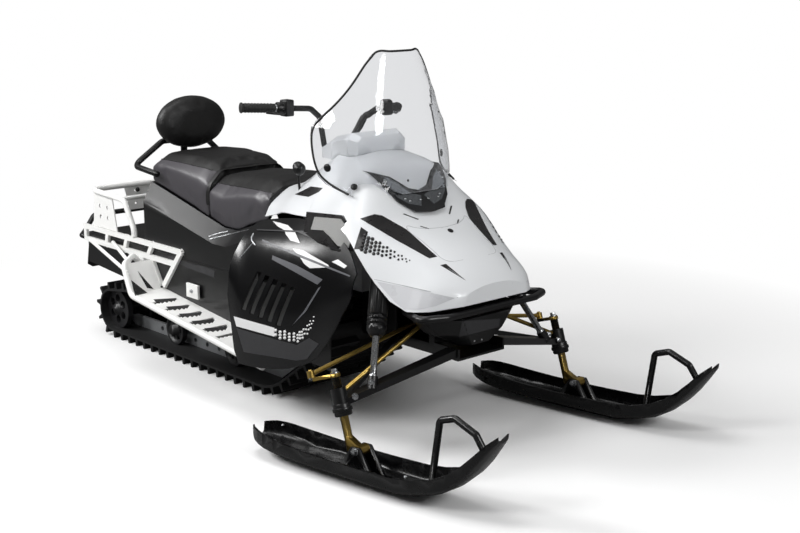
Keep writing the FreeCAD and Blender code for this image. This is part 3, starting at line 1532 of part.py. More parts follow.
def pitman():
    """The double arm on the steering post, its pins at the same reach as the kingpin arms."""
    centre = pitman_centre()
    shapes = [steering_arm(centre, RIGHT), steering_arm(centre, LEFT)]
    post_end = centre + KINGPIN * (s.steer_arm_thickness * 3)
    shapes.append(rod(centre, post_end, s.steer_arm_width * 0.5))
    return fuse(shapes)


def pitman_centre():
    """The foot of the steering post."""
    rise = (s.pitman_height - s.kingpin_foot_height) / KINGPIN.z
    return Vector(s.kingpin_foot_x, 0, s.kingpin_foot_height) + KINGPIN * rise


def rod_ends(side):
    """The two pins that a tie rod joins, at rest."""
    foot = kingpin_foot(side)
    turn = Rotation(KINGPIN, float(s.steer_angle))
    arm_start = foot + KINGPIN * (s.kingpin_length - s.steer_arm_thickness)
    outer = arm_start + turn.multVec(arm_pin(arm_start, side) - arm_start)
    centre = pitman_centre()
    inner = centre + turn.multVec(arm_pin(centre, side) - centre)
    lift = KINGPIN * (s.steer_arm_thickness + s.running_gap)
    return outer + lift, inner + lift


def tie_rod(side):
    """A rod with an eye round each pin."""
    outer, inner = rod_ends(side)
    height = KINGPIN * s.rod_eye_height
    middle = height * 0.5
    body = fuse([rod(outer + middle, inner + middle, s.rod_radius),
                 rod(outer, outer + height, s.rod_eye_radius), rod(inner, inner + height, s.rod_eye_radius)])
    bore_radius = s.rod_pin_radius + s.spindle_fit
    bores = [rod(end - height * 0.5, end + height * 1.5, bore_radius) for end in (outer, inner)]
    return body.cut(Part.makeCompound(bores))


# Skis: a channel section lofted along the ski, with a keel, a saddle and a loop handle
SKI_SHARES = (
    # along, half width, base height, rim height; heights are shares of the tip's rise
    (0.00, 0.34, 0.15, 0.33),
    (0.03, 0.62, 0.12, 0.34),
    (0.09, 0.86, 0.08, 0.32),
    (0.20, 0.97, 0.055, 0.29),
    (0.40, 1.00, 0.055, 0.27),
    (0.66, 1.00, 0.055, 0.29),
    (0.80, 0.95, 0.17, 0.39),
    (0.90, 0.80, 0.44, 0.62),
    (0.97, 0.52, 0.76, 0.90),
    (1.00, 0.34, 0.92, 1.00),
)
SKI_FLAT_SHARE = 0.055


def ski(side):
    """One ski with its runner, saddle cheeks, pin and handle."""
    y = side * s.ski_stance / 2
    tail = s.ski_pivot_x - s.ski_tail
    stations = []
    for share, wide, base, rim in SKI_SHARES:
        half = s.ski_half_width * wide
        low = s.ski_tip_rise * base
        high = s.ski_tip_rise * rim
        corners = [(half, high), (half * 0.94, along(low, high, 0.2)), (half * 0.3, low), (-half * 0.3, low),
                   (-half * 0.94, along(low, high, 0.2)), (-half, high)]
        stations.append((tail + s.ski_length * share, [(y + across, up) for across, up in corners]))
    shell = band(stations, s.ski_wall, 2)
    return shell


def ski_extras(side):
    """Keel, saddle and handle of one ski."""
    y = side * s.ski_stance / 2
    tail = s.ski_pivot_x - s.ski_tail
    low = s.ski_tip_rise * SKI_FLAT_SHARE
    wide = s.runner_half_width
    keel = prism([Vector(along(tail, tail + s.ski_length, 0.2), y - wide, low + s.ski_wall / 2),
                  Vector(along(tail, tail + s.ski_length, 0.3), y - wide, 0),
                  Vector(along(tail, tail + s.ski_length, 0.62), y - wide, 0),
                  Vector(along(tail, tail + s.ski_length, 0.72), y - wide, low + s.ski_wall / 2)],
                 SIDEWAYS * (2 * wide))
    cheeks = []
    for cheek in (-1, 1):
        start = y + cheek * s.saddle_half_width - (s.saddle_wall if cheek > 0 else 0)
        cheeks.append(prism([
            Vector(s.ski_pivot_x - s.saddle_half_width * 2.6, start, low + s.ski_wall / 2),
            Vector(s.ski_pivot_x + s.saddle_half_width * 2.6, start, low + s.ski_wall / 2),
            Vector(s.ski_pivot_x + s.ski_pin_radius * 2, start, s.ski_pivot_height + s.ski_pin_radius * 1.6),
            Vector(s.ski_pivot_x - s.ski_pin_radius * 2, start, s.ski_pivot_height + s.ski_pin_radius * 1.6),
        ], SIDEWAYS * s.saddle_wall))
    pivot = Vector(s.ski_pivot_x, y, s.ski_pivot_height)
    half = SIDEWAYS * (s.saddle_half_width + s.ski_pin_radius)
    pin = rod(pivot - half, pivot + half, s.ski_pin_radius)
    handle_shares = ((0.742, 0.118), (0.767, 0.985), (0.823, 1.05), (0.903, 0.93), (0.95, 0.70))
    handle = tube([Vector(tail + s.ski_length * fore, y, s.ski_tip_rise * up) for fore, up in handle_shares],
                  s.handle_tube_radius, s.handle_tube_radius * 1.5)
    return [keel, pin, handle] + cheeks


for side, word in ((RIGHT, "right"), (LEFT, "left")):
    turn = steered(kingpin_foot(side), KINGPIN)
    solid("spindle_" + word, spindle(side), turn)
    solid("tie_rod_" + word, tie_rod(side))
    solid("ski_" + word, fuse([ski(side)] + ski_extras(side)), turn)

solid("lower_arms", pair(lower_arm(LEFT)))
solid("upper_links", pair(upper_link(LEFT)))
solid("shocks", pair(shock(LEFT)))
solid("pitman_arm", pitman(), steered(pitman_centre(), KINGPIN))


# Handlebar on its leaning column
LEAN = math.radians(s.column_angle)
COLUMN = Vector(-math.sin(LEAN), 0, math.cos(LEAN))
bar_centre = Vector(s.bar_centre_x, 0, s.bar_centre_height)
bar_turn = steered(bar_centre, COLUMN)
column_foot = bar_centre - COLUMN * s.column_length

# Console with its holes for the column and the gear lever, and the lever itself
lever_foot = Vector(s.lever_x, s.lever_y, along(s.console_low, s.console_high, 0.42))
lever_top = lever_foot + Vector(-s.lever_length * 0.08, 0, s.lever_length)
column_bore = rod(column_foot, bar_centre, s.column_radius + s.spindle_fit)
lever_hole = rod(lever_foot - UP * s.lever_stem_radius, lever_top, s.lever_stem_radius + s.running_gap)
console_shell = band(console_lines, s.panel_wall, CONSOLE_STEPS)
crossing = console_shell.common(column_bore).CenterOfGravity
bush_middle = bar_centre + COLUMN * COLUMN.dot(crossing - bar_centre)
half_bush = COLUMN * (s.column_bush_length / 2)
bush = rod(bush_middle - half_bush, bush_middle + half_bush, s.column_radius + s.column_bush_wall)
solid("console", fuse([console_shell, bush]).cut(Part.makeCompound([column_bore, lever_hole])))
solid("gear_lever", fuse([rod(lever_foot, lever_top, s.lever_stem_radius),
                          Part.makeSphere(s.lever_knob_radius, lever_top)]))


def bar_points(side):
    """One half of the bar from its clamp out to the grip's end."""
    half = s.bar_half_width
    forward = s.grip_length * 0.35
    rise = s.grip_length * 1.2
    return [bar_centre,
            bar_centre + Vector(0, side * half * 0.14, 0),
            bar_centre + Vector(forward * 0.6, side * half * 0.29, rise * 0.8),
            bar_centre + Vector(forward * 0.9, side * half * 0.44, rise * 1.02),
            bar_centre + Vector(-forward * 1.56, side * half, rise * 0.99)]


bar_halves = [tube(bar_points(side), s.bar_tube_radius, s.bar_tube_radius * 3) for side in (RIGHT, LEFT)]
column = rod(column_foot, bar_centre + COLUMN * s.column_radius, s.column_radius)
solid("handlebar", fuse(bar_halves + [column]), bar_turn)


def grips():
    """A ribbed sleeve on each end of the bar."""
    shapes = []
    for side in (RIGHT, LEFT):
        inner, end = bar_points(side)[-2:]
        direction = (end - inner).normalize()
        start = end - direction * s.grip_length
        sleeve = rod(start, end + direction * s.overrun, s.grip_radius)
        bore = rod(start - direction * s.overrun, end, s.bar_tube_radius)
        shapes.append(sleeve.cut(bore))
    return Part.makeCompound(shapes)


solid("grips", grips(), bar_turn)


def controls():
    """Switch blocks and levers beside each grip."""
    shapes = []
    for side in (RIGHT, LEFT):
        inner, end = bar_points(side)[-2:]
        direction = (end - inner).normalize()
        start = end - direction * (s.grip_length + s.grip_radius * 2.4)
        block = rod(start, start + direction * (s.grip_radius * 2), s.grip_radius * 1.35)
        bore = rod(start - direction * s.overrun, end, s.bar_tube_radius)
        shapes.append(block.cut(bore))
    return Part.makeCompound(shapes)


solid("bar_controls", controls(), bar_turn)

doc.recompute()
for piece in doc.Objects:
    if "Invalid" in piece.State or "Error" in piece.State:
        raise RuntimeError("{} failed to compute".format(piece.Name))
os.makedirs("parts", exist_ok=True)
for label, piece in pieces.items():
    if piece.Shape.isNull() or not piece.Shape.isValid():
        raise RuntimeError("{} has no valid shape".format(label))
    piece.Shape.exportStep("parts/{}.step".format(label))
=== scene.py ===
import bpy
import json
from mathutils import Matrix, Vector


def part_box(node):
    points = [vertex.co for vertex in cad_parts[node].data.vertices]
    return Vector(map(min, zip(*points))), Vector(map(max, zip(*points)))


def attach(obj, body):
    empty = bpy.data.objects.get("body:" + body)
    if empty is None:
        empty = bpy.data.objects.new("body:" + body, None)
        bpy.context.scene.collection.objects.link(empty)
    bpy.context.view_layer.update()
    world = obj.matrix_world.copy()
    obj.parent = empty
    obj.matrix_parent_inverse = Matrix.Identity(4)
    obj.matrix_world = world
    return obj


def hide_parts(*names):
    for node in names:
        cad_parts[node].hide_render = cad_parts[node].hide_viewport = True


bl_info = {
    "name": "Two-seat utility snowmobile",
    "version": (1, 0, 0),
    "blender": (4, 5, 0),
    "location": "3D Viewport > Sidebar > Snowmobile",
    "description": "Dresses the packed snowmobile frame with panels, seats, glass and fittings",
    "category": "Object",
}

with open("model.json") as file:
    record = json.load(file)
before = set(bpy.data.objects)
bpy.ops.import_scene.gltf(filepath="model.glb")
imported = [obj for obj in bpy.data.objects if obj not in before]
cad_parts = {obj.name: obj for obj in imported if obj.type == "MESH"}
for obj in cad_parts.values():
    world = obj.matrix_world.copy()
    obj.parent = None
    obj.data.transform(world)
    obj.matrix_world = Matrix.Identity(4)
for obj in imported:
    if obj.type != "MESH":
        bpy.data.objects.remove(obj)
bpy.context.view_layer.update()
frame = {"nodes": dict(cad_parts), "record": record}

import json
import math

import bpy
from bpy.props import FloatProperty, FloatVectorProperty, PointerProperty
from mathutils import Quaternion, Vector
from mathutils.bvhtree import BVHTree
from mathutils.kdtree import KDTree

BODIES = frame["record"]["behaviour"]["bodies"]
BODY_OF = {node: body for body, nodes in BODIES.items() for node in nodes}
SLOT_OF = {row["node"]: row["material_slot"] for row in frame["record"]["subparts"]}
JOINTS = {joint["name"]: joint for joint in frame["record"]["behaviour"]["joints"]}
MM = 0.001
# Turns between faces: up to the first they are merged before a bevel, from the second on rounded
FLAT_TURN, SHARP_TURN = math.radians(1), math.radians(40)
# Cosine of the turn up to which two faces are shaded as one surface
SAME_SURFACE = 0.75
# Reach over which the large mouldings' shading is averaged, in metres
EVENING_REACH = 0.035
# How far a film may lie from its flat outline, in metres, before it takes the nearest surface
FILM_JUMP = 0.04
# Longest edge of a film's mesh
FILM_EDGE = 14 * MM
RIGHT, LEFT = -1, 1
SIDES = (("right", RIGHT), ("left", LEFT))
UP = Vector((0, 0, 1))
SIDEWAYS = Vector((0, 1, 0))

# The camera that took the photograph, in metres and degrees, and its picture in pixels
CAMERA_PLACE = Vector((4.256, -3.395, 1.740))
CAMERA_AZIMUTH = math.radians(47.723)
CAMERA_ELEVATION = math.radians(12.846)
LENS_MM = 61.48
SENSOR_MM = 36.0
PICTURE_WIDTH, PICTURE_HEIGHT = 800, 533

# Outlines on the near side of the machine, as pixels of that picture
STRIPE_PIXELS = ((360, 218.7), (374.5, 214.2), (382, 215.5), (406.5, 229.5), (437, 256.6), (429.4, 258.5),
                 (396, 240))
WEDGE_PIXELS = ((361, 227), (368, 232), (362.5, 249), (354, 249.3))
SLIVER_PIXELS = ((440.2, 265.2), (446, 264), (465.7, 280.5))
HONEYCOMB_TOP_PIXELS = ((365.5, 233.5), (409, 259))
HONEYCOMB_LOW_PIXELS = ((361, 252), (411, 263.5))
STRIP_TOP_PIXELS = ((275.5, 329), (297, 333.5), (306, 326), (313, 316))
STRIP_LOW_PIXELS = ((275.5, 338), (297, 343), (308.5, 334.5), (315.5, 319))
# Lines along the hood's creases, drawn in grey as painted shade
HOOD_CREASE_PIXELS = (((448, 226.5), (436, 228), (424, 228.5), (414, 227.4), (407, 226.2), (409, 231),
                      (420, 239.5), (433, 250.5), (444, 259.5), (452, 261.4), (463, 259.8)),
                      ((442, 264.6), (460, 276.5), (478, 291)), ((374, 279.3), (396, 284), (430, 291.5),
                      (458, 297.6)))
# The hood's lower flank, drawn in a darker white as painted shade
HOOD_SHADE_PIXELS = ((377, 281.5), (400, 286), (430, 292.6), (455, 298), (436, 306), (420, 309.5),
                (404, 309.5), (396, 303), (386, 292))
# A thin grey line along a crease of the side cover: a painted highlight
COVER_HIGHLIGHT_PIXELS = ((262.5, 239.5), (300, 254.6), (350.5, 275.6), (350, 277), (299, 257),
                     (262.5, 241.2))
# A satin-grey line along the side cover's upper crease: a painted highlight
COVER_TOP_HIGHLIGHT_PIXELS = ((257, 229.6), (298, 231), (320, 231.5), (333, 246.5), (352, 250.5), (351.6, 252),
                     (331.5, 248), (318.5, 233), (298, 232.4), (257, 230.8))
# A bright line on the side cover's edge, drawn as a silver tube: a painted highlight
COVER_GLINT_PIXELS = ((252.6, 243.5), (246.5, 250.5), (239.6, 258.5))
HOOK_PIXELS = ((253.5, 233.5), (251.6, 238.5), (255.5, 245.5))
INTAKE_FRAME_PIXELS = ((308.5, 212), (343.5, 215.5), (353.5, 227.5), (355.2, 237), (351.3, 251),
                       (336.4, 249.2), (322, 233.5), (305.5, 232.5))
INTAKE_PIXELS = ((314.6, 216.8), (341, 219), (352.0, 236), (348.6, 247.8), (338, 246), (323.5, 230.4),
                 (310.8, 229.4))
TORN_PIXELS = (((272.6, 217.5), (281.3, 216.4), (289.3, 226.7), (295, 231.9), (300.2, 243.4),
               (290.5, 240.6), (286, 234.5), (284.5, 230.2), (278.2, 226.8), (273.2, 221.8)),
               ((292.7, 248.8), (303, 250.2), (328.3, 264.8), (329.5, 267.2), (318, 268), (310, 268.2),
               (304.2, 263.7), (299.6, 256.6)), ((331.8, 261.8), (338, 259.4), (347.3, 266),
               (344.4, 268.4)))
GREY_BAR_PIXELS = ((272.6, 255.4), (296, 265), (322.6, 279.6), (317.4, 284.7), (293, 271), (272, 259.5))
CREASE_PIXELS = ((321, 286.5), (305.8, 311.7), (292.2, 325.5), (304, 311), (318.5, 288))
STRIP_PIXELS = ((233.8, 316.3), (274.4, 327.8), (274.4, 336.6), (236.5, 326.2))
LOWER_PIXELS = ((237, 328.4), (274, 339), (297, 345), (309, 338), (319, 344), (307, 359), (296, 360.5),
                (244, 352))
TUNNEL_BAND_PIXELS = ((170, 250), (190, 256), (216, 264.5), (214, 277.5), (190, 268.5), (168, 259.5))
LAMP_NEAR_PIXELS = ((384, 176.5), (396, 182.5), (408, 192), (421, 195.5), (421.5, 206), (409, 204),
                    (397, 197.5), (389.5, 188.5))
LAMP_GLINT_PIXELS = ((384.5, 180), (387.4, 185.4), (405.5, 199), (410.2, 201), (428.3, 198.5),
                     (438.2, 196.6))
ARM_BOLT_PIXEL = (355, 396.5)
SHOCK_BOLT_PIXEL = (371.5, 382.5)
NOSE_RIVET_PIXELS = ((474.5, 341.3), (481.8, 339.8))
NOSE_FACET_PIXELS = ((462, 321), (500, 318.5), (499, 327), (496, 337), (470, 346.5), (459, 337))
BRACE_PIXELS = (((90.5, 240), (127.5, 272.5)), ((113, 242), (129.5, 263)))
HUMP_PIXELS = ((305, 233), (316, 231), (323, 231.5), (329, 236), (337.5, 248.4), (351, 252), (350, 256),
               (318, 243))
CABLE_PIXELS = ((296, 107.6), (302, 107.4), (309, 108.4), (315, 113), (319.5, 119), (321.5, 130),
                (323, 140))
STEP_SLOT_PIXELS = ((153.4, 299.4), (176.6, 298), (174.6, 301.4), (173, 300.7), (171.4, 302.2),
                    (169, 301), (167, 302.8), (164.6, 301.5), (162.4, 303.3), (159.4, 302),
                    (157, 303.4))
STEP_SLOT_PITCH = (12.7, 7.2)
# Gaps by the side frames, drawn black on the boards as painted shade
FRAME_GAP_SHADE_PIXELS = (((137.5, 271), (153.5, 289), (147, 288)), ((131, 280), (147.5, 293), (135, 296)))
SLOT_PIXELS = ((295, 194.6), (311, 186.6), (323, 188), (319, 192), (308.5, 197))
SLIT_UPPER_PIXELS = ((450.6, 206), (452.2, 205.6), (450.2, 214.2), (448.6, 214.0))
SLIT_LOWER_PIXELS = ((457.8, 219.3), (459.2, 219.6), (458, 223.8), (456.8, 223.4))
HANDLE_PIXELS = ((246, 157.5), (252, 157.2), (261, 161), (268.5, 165))
SEAT_EDGE_PIXELS = (((209, 236.5), (218, 233.5), (228, 231.2)), ((209.5, 239.3), (232, 233.6), (256, 228)))
SKI_RIVET_PIXELS = ((283, 425), (405.5, 476.6))
HOOD_CAP_PIXEL = (450.4, 230.8)
GEAR_KNOB_PIXEL = (299.2, 169.0)
BOARD_PIXEL = (172, 304.5)
BRACKET_PIXEL = (193, 291)
RACK_KNOB_PIXEL = (137.5, 189.5)
# Each mount of the windshield: its pixel and its radius in millimetres
SCREEN_MOUNTS = (((430.4, 177.2), 5), ((327, 168), 15), ((354, 186.5), 13))

# Degrees to the left that the bar and the skis are turned in the stored pose
STORED_TURN = 9.0
# Heights between which the spindles are black, and below which the shocks are bare rod
KNUCKLE_LOW, KNUCKLE_HIGH = 0.215, 0.325
ROD_TOP = 0.415
SHOCK_FOOT = Vector((0.856, -0.430, 0.322))
# Distances from the middle plane of the welded side frames and of the brackets by the boards
SIDE_FRAME_OUT = 0.285
BRACKET_OUT = 0.290
BRACKET_SIZE = (0.085, 0.012, 0.060)
# Each cushion's axis height, the angle of its seam above that axis, and the ends of its piping
FRONT_AXIS, FRONT_SEAM, FRONT_RUN = 0.72, math.radians(29), (-0.405, -0.02)
REAR_AXIS, REAR_SEAM, REAR_RUN = 0.74, math.radians(36), (-0.83, -0.46)
BACKREST_AXIS, BACKREST_WIDTH = 1.0, 0.352
STRAP_X, STRAP_WIDTH = -0.436, 0.034
# The cushions' remeshing, their swelling as cloth, the foot that stays flat, and how far sideways a face
# must turn to take the flanks' grey, a painted sheen
CUSHION_VOXEL = 6 * MM
SWELL_PRESSURE, SWELL_FRAMES = 4, 20
CUSHION_FOOT = 20 * MM
FLANK_LEAN = 0.45
# Distances from the middle plane of the grab handle, on the left, and of the gear knob, on the right
HANDLE_OUT = 0.200
KNOB_OUT = 0.200
GRIP_RADIUS = 17 * MM
RIB_COUNT, RIB_START, RIB_PITCH = 9, 0.012, 0.0125
SWITCH_BLOCK_SIZE = (0.042, 0.040, 0.062)
RIGHT_LEVER_LENGTH, LEFT_LEVER_LENGTH = 0.085, 0.115
CABLE_RADIUS = 3.5 * MM
# Along a ski's bolt and along a kingpin from its joint, in metres; radius and bevel in millimetres
SKI_BOLT_OUT = 34 * MM
KINGPIN_TOP = 0.276
KNUCKLES = (("knuckle_", 0.128, 0.172, 31, 5.0), ("knuckle_lip_", 0.143, 0.157, 35, 3.0))
# Directions: out of the right intake, down the levers' slope, and out of the bolts of the right arm
INTAKE_FACING = Vector((0.35, -0.9, 0.25))
LEVER_SLOPE = Vector((1, 0, -0.45))
ARM_BOLT_WAY = Vector((0.6, -0.8, 0.1))


def linear(text):
    """An sRGB hex value as linear red, green, blue and alpha."""
    channels = [int(text[i:i + 2], 16) / 255 for i in (1, 3, 5)]
    return [c / 12.92 if c <= 0.04045 else ((c + 0.055) / 1.055) ** 2.4 for c in channels] + [1.0]


class SnowmobileFinish(bpy.types.PropertyGroup):
    """Colours and sizes that a user would change."""

    panel_white: FloatVectorProperty(
        name="Panel white", description="Colour of the white mouldings",
        subtype="COLOR", size=4, min=0, max=1, default=linear("#DDDFE1"))
    panel_black: FloatVectorProperty(
        name="Panel black", description="Colour of the black mouldings",
        subtype="COLOR", size=4, min=0, max=1, default=linear("#070708"))
    weld_gap: FloatProperty(
        name="Merge distance", description="Points of a packed mesh nearer than this are joined",
        subtype="DISTANCE", unit="LENGTH", default=0.00005, min=0)
    cushion_cap: FloatProperty(
        name="Cushion swell", description="How far the vinyl may swell out from its foam",
        subtype="DISTANCE", unit="LENGTH", default=0.007, min=0)
    lamp_strength: FloatProperty(
        name="Key light", description="Power of the large soft lamp",
        subtype="POWER", unit="POWER", default=200, min=0)


# Materials
def add_node(tree, kind, settings=None, links=None):
    """Adds a node with its attributes, its input values and the links that feed it."""
    node = tree.nodes.new(kind)
    for key, value in (settings or {}).items():
        if key in node.inputs:
            node.inputs[key].default_value = value
        else:
            setattr(node, key, value)
    for key, socket in (links or {}).items():
        tree.links.new(socket, node.inputs[key])
    return node


def finish_material(name, settings):
    """A new material whose shader takes the settings, with its tree for patterns."""
    material = bpy.data.materials.new(name)
    material.use_nodes = True
    tree = material.node_tree
    shader = tree.nodes["Principled BSDF"]
    for key, value in settings.items():
        shader.inputs[key].default_value = value
    return material, tree, shader


def grain_bump(tree, shader, size_mm, depth_mm, kind="ShaderNodeTexNoise"):
    """A fine surface grain whose size is given in millimetres."""
    place = add_node(tree, "ShaderNodeTexCoord")
    grain = add_node(tree, kind, {"Scale": 1 / (size_mm * MM)}, {"Vector": place.outputs["Object"]})
    height = grain.outputs["Fac"] if "Fac" in grain.outputs else grain.outputs["Distance"]
    bump = add_node(tree, "ShaderNodeBump", {"Distance": depth_mm * MM, "Strength": 0.6},
                    {"Height": height})
    tree.links.new(bump.outputs["Normal"], shader.inputs["Normal"])


def uneven_gloss(tree, shader, patch_mm, low, high):
    """Lets the roughness drift between two values in patches of the given size, as handling leaves it."""
    place = add_node(tree, "ShaderNodeTexCoord")
    drift = add_node(tree, "ShaderNodeTexNoise", {"Scale": 1 / (patch_mm * MM), "Detail": 4.0},
                     {"Vector": place.outputs["Object"]})
    spread = add_node(tree, "ShaderNodeMapRange",
                      {"From Min": 0.35, "From Max": 0.65, "To Min": low, "To Max": high},
                      {"Value": drift.outputs["Fac"]})
    tree.links.new(spread.outputs["Result"], shader.inputs["Roughness"])


def two_tints(tree, shader, factor, low, high):
    """Lets a factor run the base colour from one hex colour to another."""
    tint = add_node(tree, "ShaderNodeMix", {"data_type": "RGBA"}, {"Factor": factor})
    tint.inputs["A"].default_value = linear(low)
    tint.inputs["B"].default_value = linear(high)
    tree.links.new(tint.outputs["Result"], shader.inputs["Base Color"])


def mixed(tree, factor, first, second, output):
    """Feeds a mix of two shaders to an output node."""
    blend = add_node(tree, "ShaderNodeMixShader", None, {0: factor, 1: first, 2: second})
    tree.links.new(blend.outputs["Shader"], tree.nodes[output].inputs["Surface"])


def mesh_pattern(tree, shader, pitch_mm):
    """Wires of a woven screen: light wires over dark holes, by their pitch in millimetres."""
    place = add_node(tree, "ShaderNodeTexCoord")
    over = add_node(tree, "ShaderNodeMath", {"operation": "MAXIMUM"})
    for socket, direction in zip(over.inputs, ("X", "Z")):
        wave = add_node(tree, "ShaderNodeTexWave",
                        {"bands_direction": direction, "Scale": 1 / (pitch_mm * MM * math.pi)},
                        {"Vector": place.outputs["Object"]})
        tree.links.new(wave.outputs["Fac"], socket)
    two_tints(tree, shader, over.outputs["Value"], "#1A1A1B", "#B4B4B2")


def make_materials():
    """Every finish of the machine, by the name of its slot in the record or of its use."""
    finish = bpy.context.scene.snowmobile_finish
    abs_ior, film_ior = 1.53, 1.5
    cells = "ShaderNodeTexVoronoi"
    made = {}

    def add(slot, name, colour, roughness, more, gloss=None, grain=None):
        """Adds one finish, with patches of uneven gloss or a grain; returns its tree and its shader."""
        base = linear(colour) if isinstance(colour, str) else colour
        settings = {"Base Color": base, "Roughness": roughness, **more}
        made[slot], tree, shader = finish_material(name, settings)
        if gloss:
            uneven_gloss(tree, shader, *gloss)
        if grain:
            grain_bump(tree, shader, *grain)
        return tree, shader

    # Injection-moulded ABS in gloss white: a sharp sheen over a slightly soft body colour
    add("white_panel", "white_gloss_abs", finish.panel_white, 0.3,
        {"IOR": abs_ior, "Coat Weight": 0.2, "Coat Roughness": 0.08})
    # The same moulding in gloss black: almost only reflections show
    add("black_gloss", "black_gloss_abs", finish.panel_black, 0.2, {"IOR": film_ior})
    # Printed vinyl film: black, white, grey; the grey also draws a painted highlight along a crease of the
    # side covers
    add("black_film", "black_vinyl_film", "#121011", 0.3, {"IOR": film_ior}, (30, 0.26, 0.34))
    add("white_film", "white_vinyl_film", "#E2E2E2", 0.32, {"IOR": film_ior}, (30, 0.28, 0.36))
    add("grey_print_and_highlight", "grey_vinyl_film", "#55565A", 0.4, {"IOR": film_ior}, (30, 0.34, 0.44))
    # White ABS where the hood folds under, and in its creases: the same plastic in darker copies, as painted
    # shade
    add("shaded_white", "white_abs_flank", "#C6C7CA", 0.3, {"IOR": abs_ior}, (80, 0.27, 0.33))
    add("crease_painted_shade", "white_abs_crease", "#A9AAAD", 0.4, {"IOR": abs_ior}, (80, 0.36, 0.44))
    # Unpainted lower moulding with a satin sheen; the same grey also draws a painted highlight along the
    # side covers' upper crease
    add("satin_grey", "satin_grey_abs", "#303032", 0.5, {"IOR": film_ior}, (30, 0.42, 0.54))
    # Grained polypropylene: broad dull highlights
    add("black_plastic", "black_grained_polypropylene", "#0A0A0B", 0.36, {"IOR": 1.49}, None, (1.5, 0.15))
    # Glass-filled nylon of the running wheels, scuffed
    add("grey_plastic", "black_nylon_wheel", "#151517", 0.5, {"IOR": 1.53}, (20, 0.42, 0.56))
    # Satin powder coat on steel tube, black or white: orange-peel ripple of about 2 mm
    add("black_steel", "black_satin_powder_coat", "#0A0A0B", 0.34, {"IOR": 1.5}, None, (2.0, 0.08))
    add("white_steel", "white_satin_powder_coat", "#F0F0EE", 0.42, {"IOR": 1.5}, None, (2.0, 0.08))
    # Coated aluminium of the tunnel, and the bare extrusion of the slide rails
    add("black_aluminium", "black_coated_aluminium", "#0A0A0B", 0.32, {"IOR": 1.5}, (60, 0.28, 0.36))
    add("grey_aluminium", "extruded_aluminium", "#A2A4A6", 0.5, {"Metallic": 0.7}, (25, 0.42, 0.56))
    # Zinc plating with a yellow chromate: gold that drifts a little from place to place
    tree, shader = add("gold_metal", "yellow_zinc_plating", "#B8964A", 0.34, {"Metallic": 1.0})
    place = add_node(tree, "ShaderNodeTexCoord")
    drift = add_node(tree, "ShaderNodeTexNoise", {"Scale": 1 / (25 * MM)},
                     {"Vector": place.outputs["Object"]})
    two_tints(tree, shader, drift.outputs["Fac"], "#A98A44", "#C9AE63")
    # Clear zinc plating of bolts and rods, bright and blotchy
    add("silver_metal", "clear_zinc_plating", "#B9BBBD", 0.3, {"Metallic": 1.0}, (6, 0.24, 0.38))
    # Polyethylene of the skis, polished by snow
    add("ski_plastic", "black_polyethylene", "#080809", 0.24, {"IOR": 1.51}, (40, 0.18, 0.32))
    # Moulded track rubber, dusty and dull, and the softer rubber of grips and edges, which also draws the
    # painted shade in the boards' slots and frame gaps
    add("rubber_track", "moulded_track_rubber", "#111112", 0.68, {"IOR": 1.52}, None, (3.0, 0.3))
    add("black_rubber", "soft_black_rubber", "#101010", 0.6, {"IOR": 1.52}, None, (1.2, 0.12))
    # Leather-grained vinyl: cells of 2 mm, with a smooth vinyl on the cushions' flanks, whose grey is a
    # painted sheen
    add("seat_vinyl", "black_grained_vinyl", "#0B0A0A", 0.5, {"IOR": 1.5}, None, (2.0, 0.25, cells))
    add("flank_vinyl_and_sheen", "grey_smooth_vinyl", "#454347", 0.38, {"IOR": 1.5}, None, (2.0, 0.1, cells))
    # Smoked polycarbonate lens and the bright reflectors that show through it
    add("lamp_smoke", "smoked_polycarbonate", "#0A0B0D", 0.06, {"IOR": 1.58})
    add("reflector", "smoked_reflector", "#7C8084", 0.2, {"Metallic": 1.0, "Coat Weight": 1.0}, None,
        (12.0, 3.0, cells))
    # Woven wire screen with a 3 mm pitch
    wire_settings = {"Roughness": 0.5, "IOR": 1.5}
    made["wire_screen"], tree, shader = finish_material("intake_wire_screen", wire_settings)
    mesh_pattern(tree, shader, 3.0)
    # Clear polycarbonate sheet
    add("clear_screen", "clear_polycarbonate", "#E4E5E7", 0.02, {"IOR": 1.45, "Transmission Weight": 1.0})
    return made


MATERIALS = {}


# Ways of making pieces
def paint(piece, slot, material=None):
    """Gives a piece one finish and names the record's slot that it belongs to."""
    piece.data.materials.clear()
    piece.data.materials.append(MATERIALS[material or slot])
    return piece


def only(piece):
    """Selects one piece and nothing else."""
    if bpy.context.mode != "OBJECT":
        bpy.ops.object.mode_set(mode="OBJECT")
    bpy.ops.object.select_all(action="DESELECT")
    piece.select_set(True)
    bpy.context.view_layer.objects.active = piece


def edited(piece, *steps):
    """Selects a piece's whole mesh and runs edit-mode steps on it."""
    only(piece)
    bpy.ops.object.mode_set(mode="EDIT")
    bpy.ops.mesh.select_all(action="SELECT")
    for step in steps:
        step()
    bpy.ops.object.mode_set(mode="OBJECT")


def fresh(primitive, **settings):
    """Adds one primitive with nothing else selected and gives the new object back."""
    bpy.ops.object.select_all(action="DESELECT")
    primitive(**settings)
    return bpy.context.active_object


def settle(piece, name, slot, material=None, body="chassis", angle=35.0):
    """Moves a piece's place into its mesh, smooths it, paints it and fixes it to its body."""
    only(piece)
    bpy.ops.object.transform_apply(location=True, rotation=True, scale=True)
    bpy.ops.object.shade_smooth_by_angle(angle=math.radians(angle))
    piece.name = name
    piece.data.name = name
    paint(piece, slot, material)
    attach(piece, body)
    return piece


def apply_modifier(piece, kind, settings):
    """Adds one modifier with its settings and applies it."""
    only(piece)
    modifier = piece.modifiers.new(kind.lower(), kind)
    for key, value in settings.items():
        setattr(modifier, key, value)
    bpy.ops.object.modifier_apply(modifier=modifier.name)


